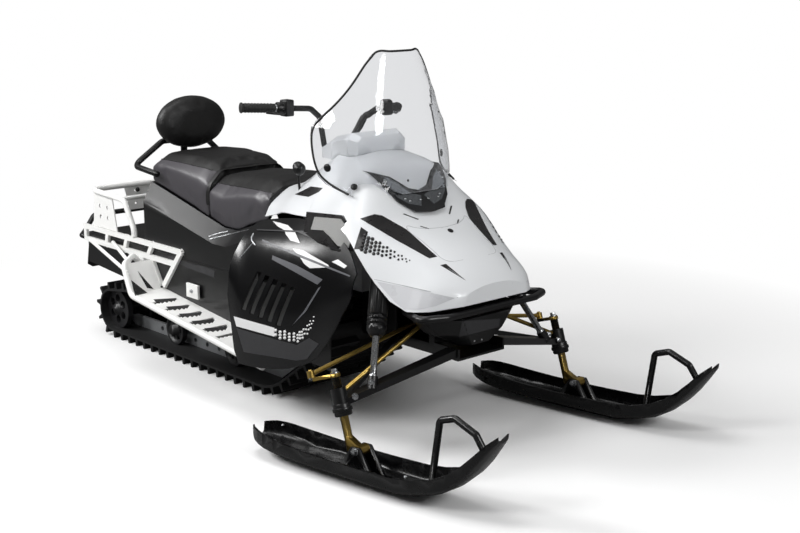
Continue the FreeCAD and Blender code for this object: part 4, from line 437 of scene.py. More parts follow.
def dressed(node, slot, material=None, angle=32.0, bevel_mm=0.0):
    """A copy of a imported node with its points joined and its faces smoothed, shown in the node's place."""
    source = frame["nodes"][node]
    copy = source.copy()
    copy.data = source.data.copy()
    copy.name = node + "_skin"
    for collection in source.users_collection:
        collection.objects.link(copy)
    gap = bpy.context.scene.snowmobile_finish.weld_gap
    steps = [lambda: bpy.ops.mesh.remove_doubles(threshold=gap)]
    if bevel_mm:
        steps.append(lambda: bpy.ops.mesh.dissolve_limited(angle_limit=FLAT_TURN))
    edited(copy, *steps)
    if bevel_mm:
        apply_modifier(copy, "BEVEL", {"width": bevel_mm * MM, "segments": 2, "limit_method": "ANGLE",
                                       "angle_limit": SHARP_TURN})
    bpy.ops.object.shade_smooth_by_angle(angle=math.radians(angle))
    paint(copy, slot, material)
    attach(copy, BODY_OF[node])
    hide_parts(node)
    return copy


def triangulated(piece):
    """Splits every face of a piece into triangles."""
    edited(piece, bpy.ops.mesh.quads_convert_to_tris)


def split_long(piece, reach):
    """Halves every edge of a piece that is longer than the reach."""
    only(piece)
    bpy.ops.object.mode_set(mode="EDIT")
    bpy.ops.mesh.select_mode(type="EDGE")
    bpy.ops.mesh.select_all(action="DESELECT")
    bpy.ops.object.mode_set(mode="OBJECT")
    corners = piece.data.vertices
    for edge in piece.data.edges:
        start, end = (corners[index].co for index in edge.vertices)
        edge.select = (end - start).length > reach
    bpy.ops.object.mode_set(mode="EDIT")
    bpy.ops.mesh.subdivide(number_cuts=1)
    bpy.ops.object.mode_set(mode="OBJECT")


def even_shading(piece, reach):
    """Shades a moulding by normals averaged over a short reach, so that its flats read as one curve."""
    for _ in range(3):
        split_long(piece, reach)
        triangulated(piece)
    faces = piece.data.polygons
    lookup = KDTree(len(faces))
    for face in faces:
        lookup.insert(face.center, face.index)
    lookup.balance()
    normals = [face.normal.copy() for face in faces]
    areas = [face.area for face in faces]
    middles = [face.center.copy() for face in faces]
    averaged = []
    for number, own in enumerate(normals):
        total = Vector()
        for _, index, _ in lookup.find_range(middles[number], reach):
            if normals[index].dot(own) > SAME_SURFACE:
                total += normals[index] * areas[index]
        averaged.append(total.normalized())
    shading = [None] * len(piece.data.loops)
    at_point = {}
    for face in faces:
        for loop in face.loop_indices:
            at_point.setdefault(piece.data.loops[loop].vertex_index, []).append((loop, face.index))
    for uses in at_point.values():
        for loop, index in uses:
            total = Vector()
            for _, other in uses:
                if averaged[other].dot(averaged[index]) > SAME_SURFACE:
                    total += averaged[other]
            shading[loop] = total.normalized()
    for face in faces:
        face.use_smooth = True
    piece.data.normals_split_custom_set(shading)


def tree_of(pieces):
    """A search tree over the faces of several pieces."""
    points, faces = [], []
    for piece in pieces:
        start = len(points)
        points += [piece.matrix_world @ vertex.co for vertex in piece.data.vertices]
        faces += [[start + index for index in polygon.vertices] for polygon in piece.data.polygons]
    return BVHTree.FromPolygons(points, faces)


def surface(*nodes):
    """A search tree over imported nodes."""
    return tree_of([frame["nodes"][node] for node in nodes])


def part_finish(piece, chosen, material):
    """Gives the faces that are chosen a second finish."""
    piece.data.materials.append(MATERIALS[material])
    for face in piece.data.polygons:
        if chosen(face):
            face.material_index = 1


def camera_axes():
    """The camera's view, right and up directions."""
    flat = math.cos(CAMERA_ELEVATION)
    view = Vector((-math.sin(CAMERA_AZIMUTH) * flat, math.cos(CAMERA_AZIMUTH) * flat,
                   -math.sin(CAMERA_ELEVATION)))
    right = view.cross(UP).normalized()
    return view, right, right.cross(view)


def sight(pixel):
    """The camera's line of sight through a pixel of the photograph, for one metre of depth."""
    view, right, above = camera_axes()
    focus = LENS_MM / SENSOR_MM * PICTURE_WIDTH
    across = (pixel[0] - PICTURE_WIDTH / 2) / focus
    down = (pixel[1] - PICTURE_HEIGHT / 2) / focus
    return view + right * across - above * down


def seen(pixel, target):
    """The point of the target's surface that a pixel of the photograph shows, or None."""
    return target.ray_cast(CAMERA_PLACE, sight(pixel).normalized())[0]


def seen_row(pixels, target):
    """The points that pixels of the photograph show, without those that miss the target."""
    return [point for point in (seen(pixel, target) for pixel in pixels) if point is not None]


def on_plane(pixel, point, normal):
    """Where the line of sight of a pixel crosses a plane."""
    ray, normal = sight(pixel), Vector(normal)
    return CAMERA_PLACE + ray * ((Vector(point) - CAMERA_PLACE).dot(normal) / ray.dot(normal))


def to_camera(normal, place):
    """A surface's normal, turned to the side that the camera sees."""
    return -normal if normal.dot(CAMERA_PLACE - place) < 0 else normal


def outward(target, place):
    """The normal of the target's surface nearest a place, on the camera's side."""
    return to_camera(target.find_nearest(place)[1], place)


def mirrored(points):
    """Points in the machine's middle plane's mirror."""
    return [Vector((point.x, -point.y, point.z)) for point in points]


def flat_shape(points):
    """A new piece with one face through the points."""
    piece = fresh(bpy.ops.mesh.primitive_circle_add, vertices=len(points), radius=1, fill_type="NGON")
    for vertex, point in zip(piece.data.vertices, points):
        vertex.co = point
    return piece


def patch(name, points, target, slot, material, thick_mm=0.5, lift_mm=0.5, drape=True):
    """A film or shallow panel that lies on a surface inside an outline of points on it."""
    piece = flat_shape(points)
    for _ in range(5):
        triangulated(piece)
        split_long(piece, FILM_EDGE)
    for vertex in piece.data.vertices:
        place, normal, _, _ = target.ray_cast(CAMERA_PLACE, (vertex.co - CAMERA_PLACE).normalized())
        if place is None or (place - vertex.co).length > FILM_JUMP:
            place, normal, _, _ = target.find_nearest(vertex.co)
        if not drape:
            place, normal = vertex.co.copy(), (CAMERA_PLACE - vertex.co).normalized()
        vertex.co = place + to_camera(normal, place) * (lift_mm * MM)
    apply_modifier(piece, "SOLIDIFY", {"thickness": thick_mm * MM, "offset": 0.0})
    edited(piece, bpy.ops.mesh.quads_convert_to_tris,
           lambda: bpy.ops.mesh.normals_make_consistent(inside=False))
    return settle(piece, name, slot, material)


def mirror_piece(piece, name, slot, material):
    """The piece's mirror image on the far side, with a mesh of its own."""
    only(piece)
    bpy.ops.object.duplicate()
    copy = bpy.context.active_object
    for vertex in copy.data.vertices:
        vertex.co.y *= -1
    edited(copy, bpy.ops.mesh.flip_normals)
    return settle(copy, name, slot, material)


def both_patches(name, pixels, target, slot, material, thick_mm=0.5, lift_mm=0.5):
    """The patch that the photograph shows and its mirror image on the far side."""
    outline = seen_row(pixels, target)
    piece = patch(name + "_right", outline, target, slot, material, thick_mm, lift_mm)
    mirror_piece(piece, name + "_left", slot, material)


def rod(name, start, end, radius, slot, material=None, body="chassis", sides=20, bevel_mm=0.6):
    """A round bar with softened ends."""
    start, end = Vector(start), Vector(end)
    run = end - start
    piece = fresh(bpy.ops.mesh.primitive_cylinder_add, vertices=sides, radius=radius, depth=run.length,
                  location=(start + end) / 2, rotation=run.to_track_quat("Z", "Y").to_euler())
    apply_modifier(piece, "BEVEL", {"width": bevel_mm * MM, "segments": 2, "limit_method": "ANGLE"})
    return settle(piece, name, slot, material, body)


def tube(name, points, radius, slot, material=None, body="chassis"):
    """A round tube along a curve through points."""
    curve = fresh(bpy.ops.curve.primitive_bezier_curve_add, radius=1, location=(0, 0, 0))
    spline = curve.data.splines[0]
    spline.bezier_points.add(len(points) - 2)
    for knot, point in zip(spline.bezier_points, points):
        knot.co = point
        knot.handle_left_type = knot.handle_right_type = "AUTO"
    curve.data.bevel_depth = radius
    curve.data.bevel_resolution = 3
    curve.data.resolution_u = 6
    curve.data.use_fill_caps = True
    only(curve)
    bpy.ops.object.convert(target="MESH")
    return settle(bpy.context.active_object, name, slot, material, body, 45.0)


def both_tubes(name, points, radius, slot, material):
    """A tube and its mirror image, named by putting each side's word into the name."""
    tube(name.format("right"), points, radius, slot, material)
    tube(name.format("left"), mirrored(points), radius, slot, material)


def ball(name, place, radius, slot, material=None, body="chassis", squash=1.0, axis=UP):
    """A ball, or a dome when squashed along an axis."""
    piece = fresh(bpy.ops.mesh.primitive_uv_sphere_add, segments=20, ring_count=12, radius=radius,
                  location=place, rotation=Vector(axis).to_track_quat("Z", "Y").to_euler())
    piece.scale = (1, 1, squash)
    return settle(piece, name, slot, material, body, 60.0)


def both_balls(name, place, radius, slot, material=None, squash=1.0, axis=UP):
    """A ball or dome and its mirror image, named like both_tubes."""
    for word, spot, out in (("right", place, axis), ("left", *mirrored((place, axis)))):
        ball(name.format(word), spot, radius, slot, material, squash=squash, axis=out)


def box(name, place, size, slot, body="chassis", bevel_mm=2.0):
    """A block with rounded edges."""
    piece = fresh(bpy.ops.mesh.primitive_cube_add, size=1, location=place)
    piece.scale = size
    only(piece)
    bpy.ops.object.transform_apply(location=False, rotation=False, scale=True)
    apply_modifier(piece, "BEVEL", {"width": bevel_mm * MM, "segments": 3, "limit_method": "ANGLE"})
    return settle(piece, name, slot, body=body)


def bolt(name, place, axis, size_mm, body="chassis"):
    """A hexagon head on a washer, seated on a surface whose outward direction is the axis."""
    place, axis = Vector(place), Vector(axis).normalized()
    size = size_mm * MM
    washer, head = axis * (0.14 * size), axis * (0.55 * size)
    for part, start, end, radius, sides, bevel in (("_washer", -washer, washer, 0.72, 16, 0.3),
                                                   ("_head", washer, washer + head, 0.5, 6, 0.5)):
        rod(name + part, place + start, place + end, radius * size, "black_steel", "silver_metal", body,
            sides, bevel)


def ribbon(name, middles, width, along, thick_mm, slot):
    """A flat strap of one width along a row of points."""
    piece = fresh(bpy.ops.mesh.primitive_grid_add, x_subdivisions=len(middles) - 1, y_subdivisions=1,
                  size=1)
    half = Vector(along) * (width / 2)
    ordered = sorted(piece.data.vertices, key=lambda vertex: (round(vertex.co.x, 5), vertex.co.y))
    for number, vertex in enumerate(ordered):
        vertex.co = middles[number // 2] + (half if number % 2 else -half)
    apply_modifier(piece, "SOLIDIFY", {"thickness": thick_mm * MM, "offset": 0.0})
    apply_modifier(piece, "SUBSURF", {"levels": 1, "render_levels": 1})
    return settle(piece, name, slot, angle=40.0)


def side_points(node, side):
    """The vertices of the half of a node that lies on one side."""
    mesh = frame["nodes"][node].data
    return [vertex.co.copy() for vertex in mesh.vertices if vertex.co.y * side > 0]


def rim(target, low, high):
    """The near free edge of a curved sheet, from its foot to its crest."""
    steps, columns = 26, 90
    edge = []
    for step in range(steps):
        height = low[2] + 6 * MM + (high[2] - low[2] - 10 * MM) * step / (steps - 1)
        best = None
        for column in range(columns):
            x = low[0] + (high[0] - low[0]) * column / (columns - 1)
            hit, _, _, _ = target.ray_cast(Vector((x, low[1] - 0.1, height)), SIDEWAYS)
            if hit is not None and (best is None or hit.y < best.y):
                best = hit
        if best is not None and best.y < 0:
            edge.append(best)
    for _ in range(3):
        middle = [(a + b * 2 + c) / 4 for a, b, c in zip(edge, edge[1:], edge[2:])]
        edge = [edge[0]] + middle + [edge[-1]]
    return edge


def ends_of(points):
    """Centres of the two end faces of a round bar, from the points of its mesh, inner end first."""
    middle = sum(points, Vector()) / len(points)
    reach = max(points, key=lambda point: (point - middle).length) - middle
    low = [point for point in points if (point - middle).dot(reach) < 0]
    high = [point for point in points if (point - middle).dot(reach) >= 0]
    ends = [sum(group, Vector()) / len(group) for group in (low, high)]
    axis = (ends[1] - ends[0]).normalized()
    span = [(point - middle).dot(axis) for point in points]
    ends = [middle + axis * min(span), middle + axis * max(span)]
    return sorted(ends, key=lambda point: abs(point.y))


def joined(name, parts, slot, material):
    """Several small meshes as one piece."""
    bpy.ops.object.select_all(action="DESELECT")
    for part in parts:
        part.select_set(True)
    bpy.context.view_layer.objects.active = parts[0]
    bpy.ops.object.join()
    return settle(parts[0], name, slot, material)


def between(corners, share):
    """The point a share of the way along a row of pixels."""
    place = share * (len(corners) - 1)
    index = min(int(place), len(corners) - 2)
    return Vector(corners[index]).lerp(Vector(corners[index + 1]), place - index)


def honeycomb(name, target, lines, columns, pitch, sizes, slot, material):
    """Hexagons that shrink along a strip between two rows of pixels, on both sides."""
    cells = []
    for column in range(columns):
        share = column / (columns - 1)
        top, low = (between(line, share) for line in lines)
        rows = max(1, round((low - top).length / pitch))
        radius = sizes[0] + (sizes[1] - sizes[0]) * share
        for row in range(rows):
            place = top.lerp(low, (row + (0.7 if column % 2 else 0.3)) / rows)
            corners = [place + Vector((math.cos(turn), math.sin(turn))) * radius
                       for turn in (math.tau * corner / 6 for corner in range(6))]
            hits = [seen(corner, target) for corner in corners]
            if None not in hits:
                cells.append(hits)
    outwards = (CAMERA_PLACE - cells[0][0]).normalized() * (1.2 * MM)
    for word, side in SIDES:
        parts = []
        for hits in cells:
            raised = [hit + outwards for hit in hits]
            parts.append(flat_shape(raised if side == RIGHT else mirrored(raised)[::-1]))
        piece = joined(name + "_" + word, parts, slot, material)
        apply_modifier(piece, "SOLIDIFY", {"thickness": 0.4 * MM, "offset": 0.0})


def rounded_oval(piece, bounds, width):
    """Bends an eight-sided pad's outline, as seen along the machine, into an oval of a new width."""
    low, high = (Vector(corner) for corner in bounds)
    middle, half = (low + high) / 2, (high - low) / 2
    sectors = 60
    rims = [0.0] * sectors
    places = []
    for vertex in piece.data.vertices:
        across, up = (vertex.co.y - middle.y) / half.y, (vertex.co.z - middle.z) / half.z
        turn = (math.atan2(up, across) / math.tau % 1) * sectors
        reach = math.hypot(across, up)
        places.append((across, up, turn))
        nearest = round(turn) % sectors
        rims[nearest] = max(rims[nearest], reach)
    for vertex, (across, up, turn) in zip(piece.data.vertices, places):
        first = int(turn) % sectors
        rim_here = rims[first] + (rims[(first + 1) % sectors] - rims[first]) * (turn % 1)
        vertex.co.y = middle.y + across / rim_here * width / 2
        vertex.co.z = middle.z + up / rim_here * half.z


def cushion(node, name, seam_angle, axis_height, rounds, oval_width=None):
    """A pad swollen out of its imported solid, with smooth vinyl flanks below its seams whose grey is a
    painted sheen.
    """
    finish = bpy.context.scene.snowmobile_finish
    source = frame["nodes"][node]
    piece = bpy.data.objects.new(name, source.data.copy())
    bpy.context.scene.collection.objects.link(piece)
    only(piece)
    piece.data.remesh_voxel_size = CUSHION_VOXEL
    bpy.ops.object.voxel_remesh()
    if oval_width:
        rounded_oval(piece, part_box(node), oval_width)
    apply_modifier(piece, "SMOOTH", {"factor": 0.5, "iterations": rounds})
    start = [vertex.co.copy() for vertex in piece.data.vertices]
    floor_height = min(point.z for point in start) + CUSHION_FOOT
    only(piece)
    cloth = piece.modifiers.new("swell", "CLOTH")
    cloth.settings.use_pressure = True
    cloth.settings.uniform_pressure_force = SWELL_PRESSURE
    cloth.settings.effector_weights.gravity = 0
    for number in range(1, SWELL_FRAMES + 1):
        bpy.context.scene.frame_set(number)
    swollen = piece.evaluated_get(bpy.context.evaluated_depsgraph_get()).data
    ends = [vertex.co.copy() for vertex in swollen.vertices]
    piece.modifiers.remove(cloth)
    bpy.context.scene.frame_set(1)
    for vertex, before, after in zip(piece.data.vertices, start, ends):
        move = after - before
        if move.length > finish.cushion_cap:
            move *= finish.cushion_cap / move.length
        if before.z < floor_height or move.z < 0:
            move.z = min(0, max(0, move.z))
        vertex.co = before + move
    apply_modifier(piece, "SMOOTH", {"factor": 0.5, "iterations": 12})
    apply_modifier(piece, "SUBSURF", {"levels": 1, "render_levels": 1})
    only(piece)
    bpy.ops.object.shade_smooth()
    paint(piece, "seat_vinyl")
    # Side-facing faces below the seam take the flank vinyl: a real panel, its grey a painted sheen
    if seam_angle is not None:
        piece.data.materials.append(MATERIALS["flank_vinyl_and_sheen"])
        for face in piece.data.polygons:
            middle = face.center
            rise = math.atan2(middle.z - axis_height, abs(middle.y))
            face.material_index = 1 if rise < seam_angle and abs(face.normal.y) > FLANK_LEAN else 0
    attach(piece, "chassis")
    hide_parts(node)
    return piece


def around(target, x, angles, axis_height, lift):
    """Points of a pad's skin in the plane at x, at angles round its long axis."""
    points = []
    axis = Vector((x, 0, axis_height))
    for angle in angles:
        out = Vector((0, math.cos(angle), math.sin(angle)))
        hit, _, _, _ = target.ray_cast(axis + out * 0.6, -out)
        if hit is not None:
            points.append(hit + out * lift)
    return points


# Steps
class SNOWMOBILE_OT_frame(bpy.types.Operator):
    """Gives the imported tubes, wheels, plates and rails their finishes"""

    bl_idname = "snowmobile.frame"
    bl_label = "Frame finishes"

    def execute(self, context):
        shown_white = ("running_board_left", "running_board_right", "side_frames", "rear_rack")
        for node, piece in frame["nodes"].items():
            paint(piece, SLOT_OF[node], "white_steel" if node in shown_white else None)
        return {"FINISHED"}


class SNOWMOBILE_OT_panels(bpy.types.Operator):
    """Smooths the mouldings and the round metalwork"""

    bl_idname = "snowmobile.panels"
    bl_label = "Mouldings"

    def execute(self, context):
        evened = ("hood", "console", "side_panel_right", "side_panel_left", "seat_base", "headlamp",
                  "windshield")
        # Slot, angle in degrees up to which edges are smoothed, and nodes
        for slot, angle, nodes in (
                ("white_panel", 38, ("hood", "console", "dash_pod")),
                ("black_gloss", 38, ("side_panel_right", "side_panel_left")),
                ("black_plastic", 30, ("nose_pan",)),
                ("clear_screen", 60, ("windshield",)),
                ("lamp_smoke", 50, ("headlamp",)),
                ("black_plastic", 30, ("seat_base",)),
                ("black_steel", 35, ("front_bumper", "rear_grab_bar", "backrest_frame", "handlebar")),
                ("black_rubber", 35, ("grips",)),
                ("grey_plastic", 30, ("rear_idlers", "bogie_wheels")),
                ("black_steel", 30, ("shocks",)),
                ("black_plastic", 50, ("gear_lever",))):
            for node in nodes:
                skin = dressed(node, slot, angle=angle)
                if node in evened:
                    even_shading(skin, EVENING_REACH)
                if node == "shocks":
                    part_finish(skin, lambda face: face.center.z < ROD_TOP, "silver_metal")
        for word, _ in SIDES:
            dressed("ski_" + word, "black_plastic", "ski_plastic")
            leg = dressed("spindle_" + word, "gold_metal")
            part_finish(leg, lambda face: KNUCKLE_LOW < face.center.z < KNUCKLE_HIGH, "black_steel")
        for node in ("bar_controls", "snow_flap"):
            dressed(node, SLOT_OF[node], bevel_mm=2.5)
        return {"FINISHED"}


class SNOWMOBILE_OT_screen(bpy.types.Operator):
    """Adds the windshield's rubber edge, screws and foot brackets and the lamp's reflectors, with silver
    beads as painted glints
    """

    bl_idname = "snowmobile.screen"
    bl_label = "Windshield and headlamp"

    def execute(self, context):
        glass = surface("windshield")
        low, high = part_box("windshield")
        near = rim(glass, low, high)
        crest = []
        for share in (0.25, 0.5, 0.75):
            y = near[-1].y * (1 - 2 * share)
            hit, _, _, _ = glass.ray_cast(Vector((high[0] + 0.1, y, high[2] - 4 * MM)), Vector((-1, 0, 0)))
            if hit is not None:
                crest.append(Vector((hit.x - 2 * MM, hit.y, high[2] - 3 * MM)))
        tube("windshield_edge", near + crest + mirrored(near)[::-1], 4.2 * MM, "black_rubber")
        for number, (pixel, size) in enumerate(SCREEN_MOUNTS):
            place = seen(pixel, glass)
            if place is not None:
                normal = outward(glass, place)
                both_balls(f"windshield_mount_{{}}_{number}", place - normal * (3 * MM), size * MM,
                           "black_plastic", squash=0.4, axis=normal)

        lens = surface("headlamp")
        both_patches("lamp_unit", LAMP_NEAR_PIXELS, lens, "lamp_smoke", "reflector", lift_mm=0.6)
        # Silver beads where the lens shows glints: painted highlights
        for number, spot in enumerate(seen_row(LAMP_GLINT_PIXELS, lens)):
            both_balls(f"lamp_bead_{{}}_{number}", spot, 5 * MM, "lamp_smoke", "silver_metal", 0.6)
        return {"FINISHED"}


class SNOWMOBILE_OT_films(bpy.types.Operator):
    """Lays the stripes and the honeycomb on the hood, grey lines along its creases and a darker patch on its
    lower flank as painted shade, with its slits and cap
    """

    bl_idname = "snowmobile.films"
    bl_label = "Hood films"

    def execute(self, context):
        skin = surface("hood")
        for name, pixels in (("stripe", STRIPE_PIXELS), ("wedge", WEDGE_PIXELS), ("sliver", SLIVER_PIXELS),
                             ("slit_upper", SLIT_UPPER_PIXELS), ("slit_lower", SLIT_LOWER_PIXELS)):
            both_patches("hood_" + name, pixels, skin, "white_panel", "black_film")
        # Columns, pitch and first and last radius of the cells, in pixels
        honeycomb("hood_honeycomb", skin, (HONEYCOMB_TOP_PIXELS, HONEYCOMB_LOW_PIXELS), 13, 3.9,
                  (2.25, 0.8), "white_panel", "black_film")
        # Thin grey tubes along the creases: painted shade
        for number, pixels in enumerate(HOOD_CREASE_PIXELS):
            both_tubes(f"hood_crease_{{}}_{number}", seen_row(pixels, skin), 0.9 * MM, "white_panel",
                       "crease_painted_shade")
        # A darker white patch on the lower flank: painted shade
        both_patches("hood_flank", HOOD_SHADE_PIXELS, skin, "white_panel", "shaded_white", lift_mm=0.6)
        place = seen(HOOD_CAP_PIXEL, skin)
        normal = outward(skin, place)
        rod("hood_cap", place - normal * MM, place + normal * (3 * MM), 11 * MM, "black_plastic", sides=28)
        return {"FINISHED"}


class SNOWMOBILE_OT_flanks(bpy.types.Operator):
    """Adds the intakes, printed shapes, hooks, lower panels and creases of the side covers, with painted
    highlights along a crease, the upper crease and an edge
    """

    bl_idname = "snowmobile.flanks"
    bl_label = "Side covers"

    def execute(self, context):
        skin = surface("side_panel_right", "hood", "console", "seat_base")
        facing = INTAKE_FACING.normalized()
        # The intake's three shapes lie in one plane, lifted off it by their own millimetres
        front = sorted(seen_row(INTAKE_FRAME_PIXELS, skin), key=facing.dot)[-3]
        for name, pixels, material, thick, lift in (
                ("intake_frame", INTAKE_FRAME_PIXELS, "black_film", 30, -16),
                ("intake_screen", INTAKE_PIXELS, "wire_screen", 2, 4),
                ("intake_hump", HUMP_PIXELS, "black_film", 3, 9)):
            shape = [on_plane(pixel, front, facing) for pixel in pixels]
            piece = patch(name + "_right", shape, skin, "black_gloss", material, thick, lift, drape=False)
            mirror_piece(piece, name + "_left", "black_gloss", material)
        for number, pixels in enumerate(TORN_PIXELS):
            both_patches(f"cover_flash_{number}", pixels, skin, "black_gloss", "white_film", lift_mm=0.8)
        # The grey line along the crease and the satin-grey edge along the upper crease are painted
        # highlights
        for name, pixels, material, thick, lift in (("bar", GREY_BAR_PIXELS, "grey_print_and_highlight", 0.5, 0.5),
                                                    ("crease", CREASE_PIXELS, "grey_print_and_highlight", 0.5, 0.5),
                                                    ("strip", STRIP_PIXELS, "white_film", 0.5, 0.5),
                                                    ("line", COVER_HIGHLIGHT_PIXELS, "grey_print_and_highlight", 0.5, 1.4),
                                                    ("edge", COVER_TOP_HIGHLIGHT_PIXELS, "satin_grey", 0.5, 2.6),
                                                    ("foot", LOWER_PIXELS, "satin_grey", 1.0, 0.8)):
            both_patches("cover_" + name, pixels, skin, "black_gloss", material, thick, lift)
        honeycomb("cover_honeycomb", skin, (STRIP_TOP_PIXELS, STRIP_LOW_PIXELS), 15, 3.6, (1.75, 0.8),
                  "black_gloss", "white_film")
        # The first silver tube is a painted highlight on the cover's edge, the second the real hook
        for name, pixels, radius in (("latch", COVER_GLINT_PIXELS, 2.6), ("hook", HOOK_PIXELS, 3.2)):
            both_tubes(f"cover_{name}_{{}}", seen_row(pixels, skin), radius * MM, "black_gloss",
                       "silver_metal")
        return {"FINISHED"}


class SNOWMOBILE_OT_seats(bpy.types.Operator):
    """Swells the cushions and adds their piping, strap and grab handle"""

    bl_idname = "snowmobile.seats"
    bl_label = "Seat and backrest"

    def execute(self, context):
        front = cushion("seat_front", "seat_front_cushion", FRONT_SEAM, FRONT_AXIS, 14)
        rear = cushion("seat_rear", "seat_rear_cushion", REAR_SEAM, REAR_AXIS, 14)
        cushion("backrest_pad", "backrest_cushion", None, BACKREST_AXIS, 40, BACKREST_WIDTH)
        steps = 14
        for piece, axis, seam, (start, end) in ((front, FRONT_AXIS, FRONT_SEAM, FRONT_RUN),
                                                (rear, REAR_AXIS, REAR_SEAM, REAR_RUN)):
            target = tree_of([piece])
            for word, angle in (("left", seam), ("right", math.pi - seam)):
                path = []
                for number in range(steps + 1):
                    x = start + (end - start) * number / steps
                    path += around(target, x, (angle,), axis, 0.5 * MM)
                tube(piece.name + "_piping_" + word, path, 2.6 * MM, "seat_vinyl")
        angles = [math.radians(degree) for degree in range(-4, 185, 8)]
        strap = around(tree_of([front, rear]), STRAP_X, angles, FRONT_AXIS, 4 * MM)
        ribbon("seat_strap", strap, STRAP_WIDTH, (1, 0, 0), 3.0, "seat_vinyl")
        handle = [on_plane(pixel, (0, HANDLE_OUT, 0), SIDEWAYS) for pixel in HANDLE_PIXELS]
        tube("seat_grab_handle", handle, 7 * MM, "black_rubber")
        base = surface("seat_base")
        for number, pixels in enumerate(SEAT_EDGE_PIXELS):
            both_tubes(f"seat_edge_{{}}_{number}", seen_row(pixels, base), 2 * MM, "black_plastic",
                       "silver_metal")
        return {"FINISHED"}


class SNOWMOBILE_OT_controls(bpy.types.Operator):
    """Adds grip ribs, collars, levers and cables to the bar, and the lever's slot in the console"""

    bl_idname = "snowmobile.controls"
    bl_label = "Handlebar and console"

    def execute(self, context):
        for word, side in SIDES:
            inner, outer = ends_of(side_points("grips", side))
            axis = (outer - inner).normalized()
            for number in range(RIB_COUNT):
                place = inner + axis * (RIB_START + RIB_PITCH * number)
                rod(f"grip_rib_{word}_{number}", place, place + axis * (5 * MM), GRIP_RADIUS + 1.2 * MM,
                    "black_rubber", body="handlebar", bevel_mm=0.8)
            rod("grip_flange_" + word, outer - axis * (5 * MM), outer + axis * MM, GRIP_RADIUS + 3 * MM,
                "black_rubber", body="handlebar", sides=28, bevel_mm=1.5)
            for name, far, close, radius in (("collar", 13, 1, 14), ("ring", 22, 14, 20)):
                rod(f"grip_{name}_{word}", inner - axis * (far * MM), inner - axis * (close * MM),
                    radius * MM, "black_steel", "silver_metal", body="handlebar", sides=28)
            box("switch_block_" + word, inner - axis * (46 * MM) + Vector((6 * MM, 0, 2 * MM)),
                SWITCH_BLOCK_SIZE, "black_plastic", body="handlebar", bevel_mm=6.0)
            down = LEVER_SLOPE.normalized()
            root = inner - axis * (32 * MM) + down * (18 * MM)
            length = LEFT_LEVER_LENGTH if side == LEFT else RIGHT_LEVER_LENGTH
            lever = [root, root + down * (22 * MM) + axis * (18 * MM),
                     root + down * (24 * MM) + axis * (length * 0.6),
                     root + down * (16 * MM) + axis * length]
            tube("bar_lever_" + word, lever, 5 * MM, "black_plastic",
                 "silver_metal" if side == LEFT else None, body="handlebar")
        # The throttle's cable, taped along the bar, and its twin in the bar's own mirror plane
        near = [point + (CAMERA_PLACE - point).normalized() * (4 * MM)
                for point in seen_row(CABLE_PIXELS, surface("handlebar"))]
        tube("bar_cable_right", near, CABLE_RADIUS, "black_rubber", body="handlebar")
        steering = JOINTS["steering"]
        hub, axis = Vector(steering["pos_m"]), Vector(steering["axis"]).normalized()
        turn = Quaternion(axis, math.radians(STORED_TURN))
        straight = mirrored([hub + turn.inverted() @ (point - hub) for point in near])
        tube("bar_cable_left", [hub + turn @ (point - hub) for point in straight], CABLE_RADIUS,
             "black_rubber", body="handlebar")
        skin = surface("console", "hood")
        ball("gear_knob", on_plane(GEAR_KNOB_PIXEL, (0, -KNOB_OUT, 0), SIDEWAYS), 25 * MM, "black_plastic")
        patch("lever_slot", seen_row(SLOT_PIXELS, skin), skin, "black_plastic", "black_film", lift_mm=0.8)
        return {"FINISHED"}


